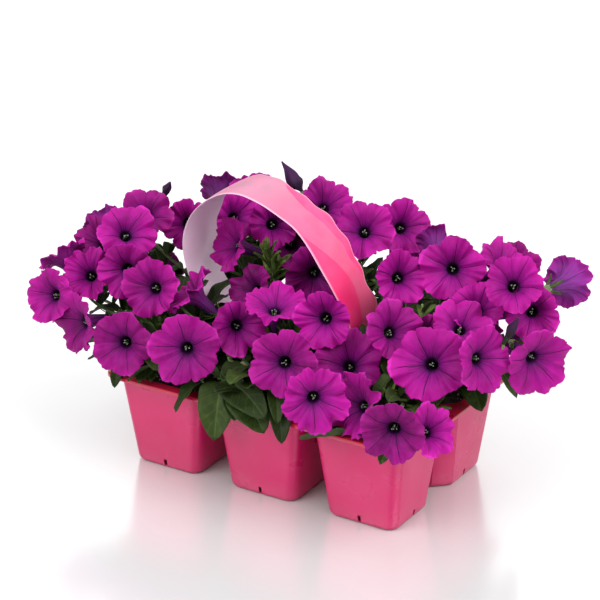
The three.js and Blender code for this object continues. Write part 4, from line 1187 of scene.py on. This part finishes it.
def dress_plant(plant, canopy, rng):
    for index, line in enumerate(plant.branches):
        for k, share in enumerate(LEAF_PLACES):
            place = share * (len(line) - 1)
            step = min(int(place), len(line) - 2)
            root = line[step] + (line[step + 1] - line[step]) * (place - step)
            growth = unit(line[step + 1] - line[step])
            turn = (index * len(LEAF_PLACES) + k) * GOLDEN_TURN
            aside = np.array((math.cos(turn), math.sin(turn), 0.25))
            outward = unit(root - plant.heart + (0, 0, 6))
            way = unit(growth * (0.2 + 0.7 * share) + aside * 0.9 + outward * 0.7)
            grow_leaf(plant, canopy, root, way, rng.uniform(*LEAF_LENGTHS), rng)
    for name, *leaf in RIM_LEAVES:
        if name == plant.name:
            add_rim_leaf(plant, *leaf, rng)


def add_rim_leaf(plant, root, tip, width, arch, roll, rng):
    root = np.array(root, float)
    Leaf(root, tip, width * 1.06, arch, roll).add(plant.form, rng, 17, 11)
    end, growth = plant.nearest(root)
    way = unit(np.array(tip) - root)
    pull = np.linalg.norm(end - root) * 0.4
    line = bezier([root + way * 1.5, root - way * pull, end + growth * pull * 0.4, end], 10)
    plant.form.tube(line, np.linspace(0.9, 1.3, len(line)), 7, ink=1)


def add_shoot(plant, canopy, tip, count, rng):
    """A young shoot: a hairy stem with small narrow leaves at its top, which stand out in front if many."""
    tip = np.array(tip, float)
    crowded = count > CROWDED
    line = plant.stalk(tip, np.array((0, -0.2, 0.98)), (0.9, 1.4), rng)
    for k in range(count):
        turn = k * GOLDEN_TURN
        level = k / count
        root = line[0] + (line[4] - line[0]) * (1 - level) * 0.9
        rise = 0.35 + 1.0 * level
        way = direction(turn, rise)
        size = rng.uniform(*SHOOT_LEAF_LENGTHS) * (1.15 - 0.4 * level)
        leaf = Leaf(root, root + way * size, size * 0.27, rng.uniform(0.5, 3), rng.normal(0, 0.4))
        if canopy.is_clear(leaf.samples(), may_hide=crowded):
            leaf.add(plant.form, rng, 8, 7, rng.uniform(*((0.7, 1.0) if crowded else (0.6, 0.9))))


# ---------------------------------------------------------------- the whole pack
def build_pack():
    petals, leaf, stem = petal_paint(), leaf_paint(), stem_paint()
    build_tray(tray_paint())
    build_strap(strap_paint())
    compost = soil_paint()
    rng = np.random.default_rng(SEED)
    for cell in CELLS:
        build_soil(cell, compost, rng)
    draw = Draw(SEED)
    for _ in range(SOIL_DRAWS):
        draw()
    rows = [*BLOOMS, *far_blooms(draw)]
    blooms = [Bloom(row, draw) for row in rows]
    anthers = anther_paint()
    forms = {}
    for bloom in blooms:
        form = forms.setdefault(SHARED.get(bloom.name, bloom.name), Form())
        add_bloom(form, bloom, rng)
    for name, form in forms.items():
        form.piece(f"petals_{name}", "petals", [petals, anthers], [f"bloom_{name}"])
    canopy = Canopy(blooms)
    plants = {cell[0]: Plant(cell) for cell in CELLS}
    for plant in plants.values():
        plant.grow_stems(rng)
    for bloom in blooms:
        plant = min(plants.values(), key=lambda each: np.linalg.norm(each.heart - bloom.base))
        add_calyx(plant.form, bloom, rng)
        line = plant.stalk(bloom.base - bloom.look * 4, bloom.look, STALK_RADII, rng)
        reach = np.linalg.norm(line[0] - line[-1])
        for share in np.arange(0.25, 0.8, 14 / max(reach, 15)):
            root = line[int(share * len(line))]
            way = unit(rng.normal(0, 1, 3) + unit(root - plant.heart) * 0.8)
            grow_leaf(plant, canopy, root, way, rng.uniform(*STALK_LEAF_LENGTHS), rng)
    for name, tip, count in SHOOTS:
        add_shoot(plants[name], canopy, tip, count, rng)
    buds = Form()
    for name, base, *bud, joint in BUDS:
        base = np.array(base, float)
        add_bud(buds, base, *bud, rng)
        if joint is None:
            plants[name].stalk(base, np.array((0, 0.3, 0.95)), (1.2, 1.3), rng)
        else:
            line = bezier([base, base - (0, 0, 8), joint + np.array((0, 0, 8)), joint])
            plants[name].form.tube(line, 1.2, ink=1)
    buds.piece("closed_buds", "petals", [bud_paint()])
    for plant in plants.values():
        dress_plant(plant, canopy, rng)
        plant.form.piece(f"foliage_{plant.name}", "foliage", [leaf, stem], [f"plant_{plant.name}"])


# ---------------------------------------------------------------- floor, light and camera
FLOOR_SIZE = 12.0  # metres
KEY_LIGHT = {"towards": (0.95, -0.1, 0.95), "spread": 38, "strength": 2.0}
FILL_LIGHT = {"towards": (-0.4, -0.95, 0.9), "spread": 45, "strength": 1.65}
SKY = {"horizon": 0.22, "above": 1.28, "from": 0.1, "to": 0.36}  # strength, and height as sines


def add_light(name, towards, spread, strength):
    """A broad soft light that shines evenly from the given direction."""
    light = bpy.data.lights.new(name, "SUN")
    light.angle = math.radians(spread)
    light.energy = strength
    lamp = put_in_scene(name, light)
    lamp.location = Vector(towards)
    lamp.rotation_euler = Vector(towards).to_track_quat("Z", "Y").to_euler()


def build_sky():
    """White all round, dimmer towards the horizon."""
    world = bpy.data.worlds.new("studio")
    world.use_nodes = True
    nodes = Nodes(world.node_tree)
    sky = nodes.tree.nodes["Background"]
    nodes.put(sky.inputs["Color"], (1, 1, 1))
    height = nodes.parts(nodes.add("ShaderNodeTexCoord", {}).outputs["Generated"])[2]
    strength = nodes.step(height, SKY["from"], SKY["to"], SKY["horizon"], SKY["above"])
    nodes.put(sky.inputs["Strength"], strength)
    return world


def build_studio():
    paint = Paint("floor_white", Roughness=0.2, IOR=2.35, Specular_IOR_Level=1.0)
    grain = paint.noise(3, 2)
    white = paint.finish(paint.mix(grain, (0.6, 0.6, 0.605), (0.63, 0.63, 0.635)))
    mesh = bpy.data.meshes.new("floor")
    half = FLOOR_SIZE / 2
    corners = [(-half, -half, 0), (half, -half, 0), (half, half, 0), (-half, half, 0)]
    mesh.from_pydata(corners, [], [(0, 1, 2, 3)])
    mesh.materials.append(white)
    floor = put_in_scene("floor", mesh)
    add_light("key", **KEY_LIGHT)
    add_light("fill", **FILL_LIGHT)
    bpy.context.scene.world = build_sky()
    bpy.context.scene.view_settings.view_transform = "Standard"


def build_camera():
    right, up, back = camera_axes()
    camera = bpy.data.cameras.new("camera")
    camera.sensor_width = SENSOR_MM
    camera.lens = FOCAL_PIXELS * SENSOR_MM / PICTURE_PIXELS
    camera.clip_end = 50
    stand = put_in_scene("camera", camera)
    place = (Vector((0, 0, CAMERA_TARGET_HEIGHT)) + right * CAMERA_ASIDE + up * CAMERA_RISE
             + back * CAMERA_DISTANCE)
    turned = np.array((right, up, back)).T
    stand.matrix_world = Matrix([[*turned[k], place[k] * MM] for k in range(3)] + [[0, 0, 0, 1]])
    bpy.context.scene.camera = stand


build_pack()
build_studio()
build_camera()
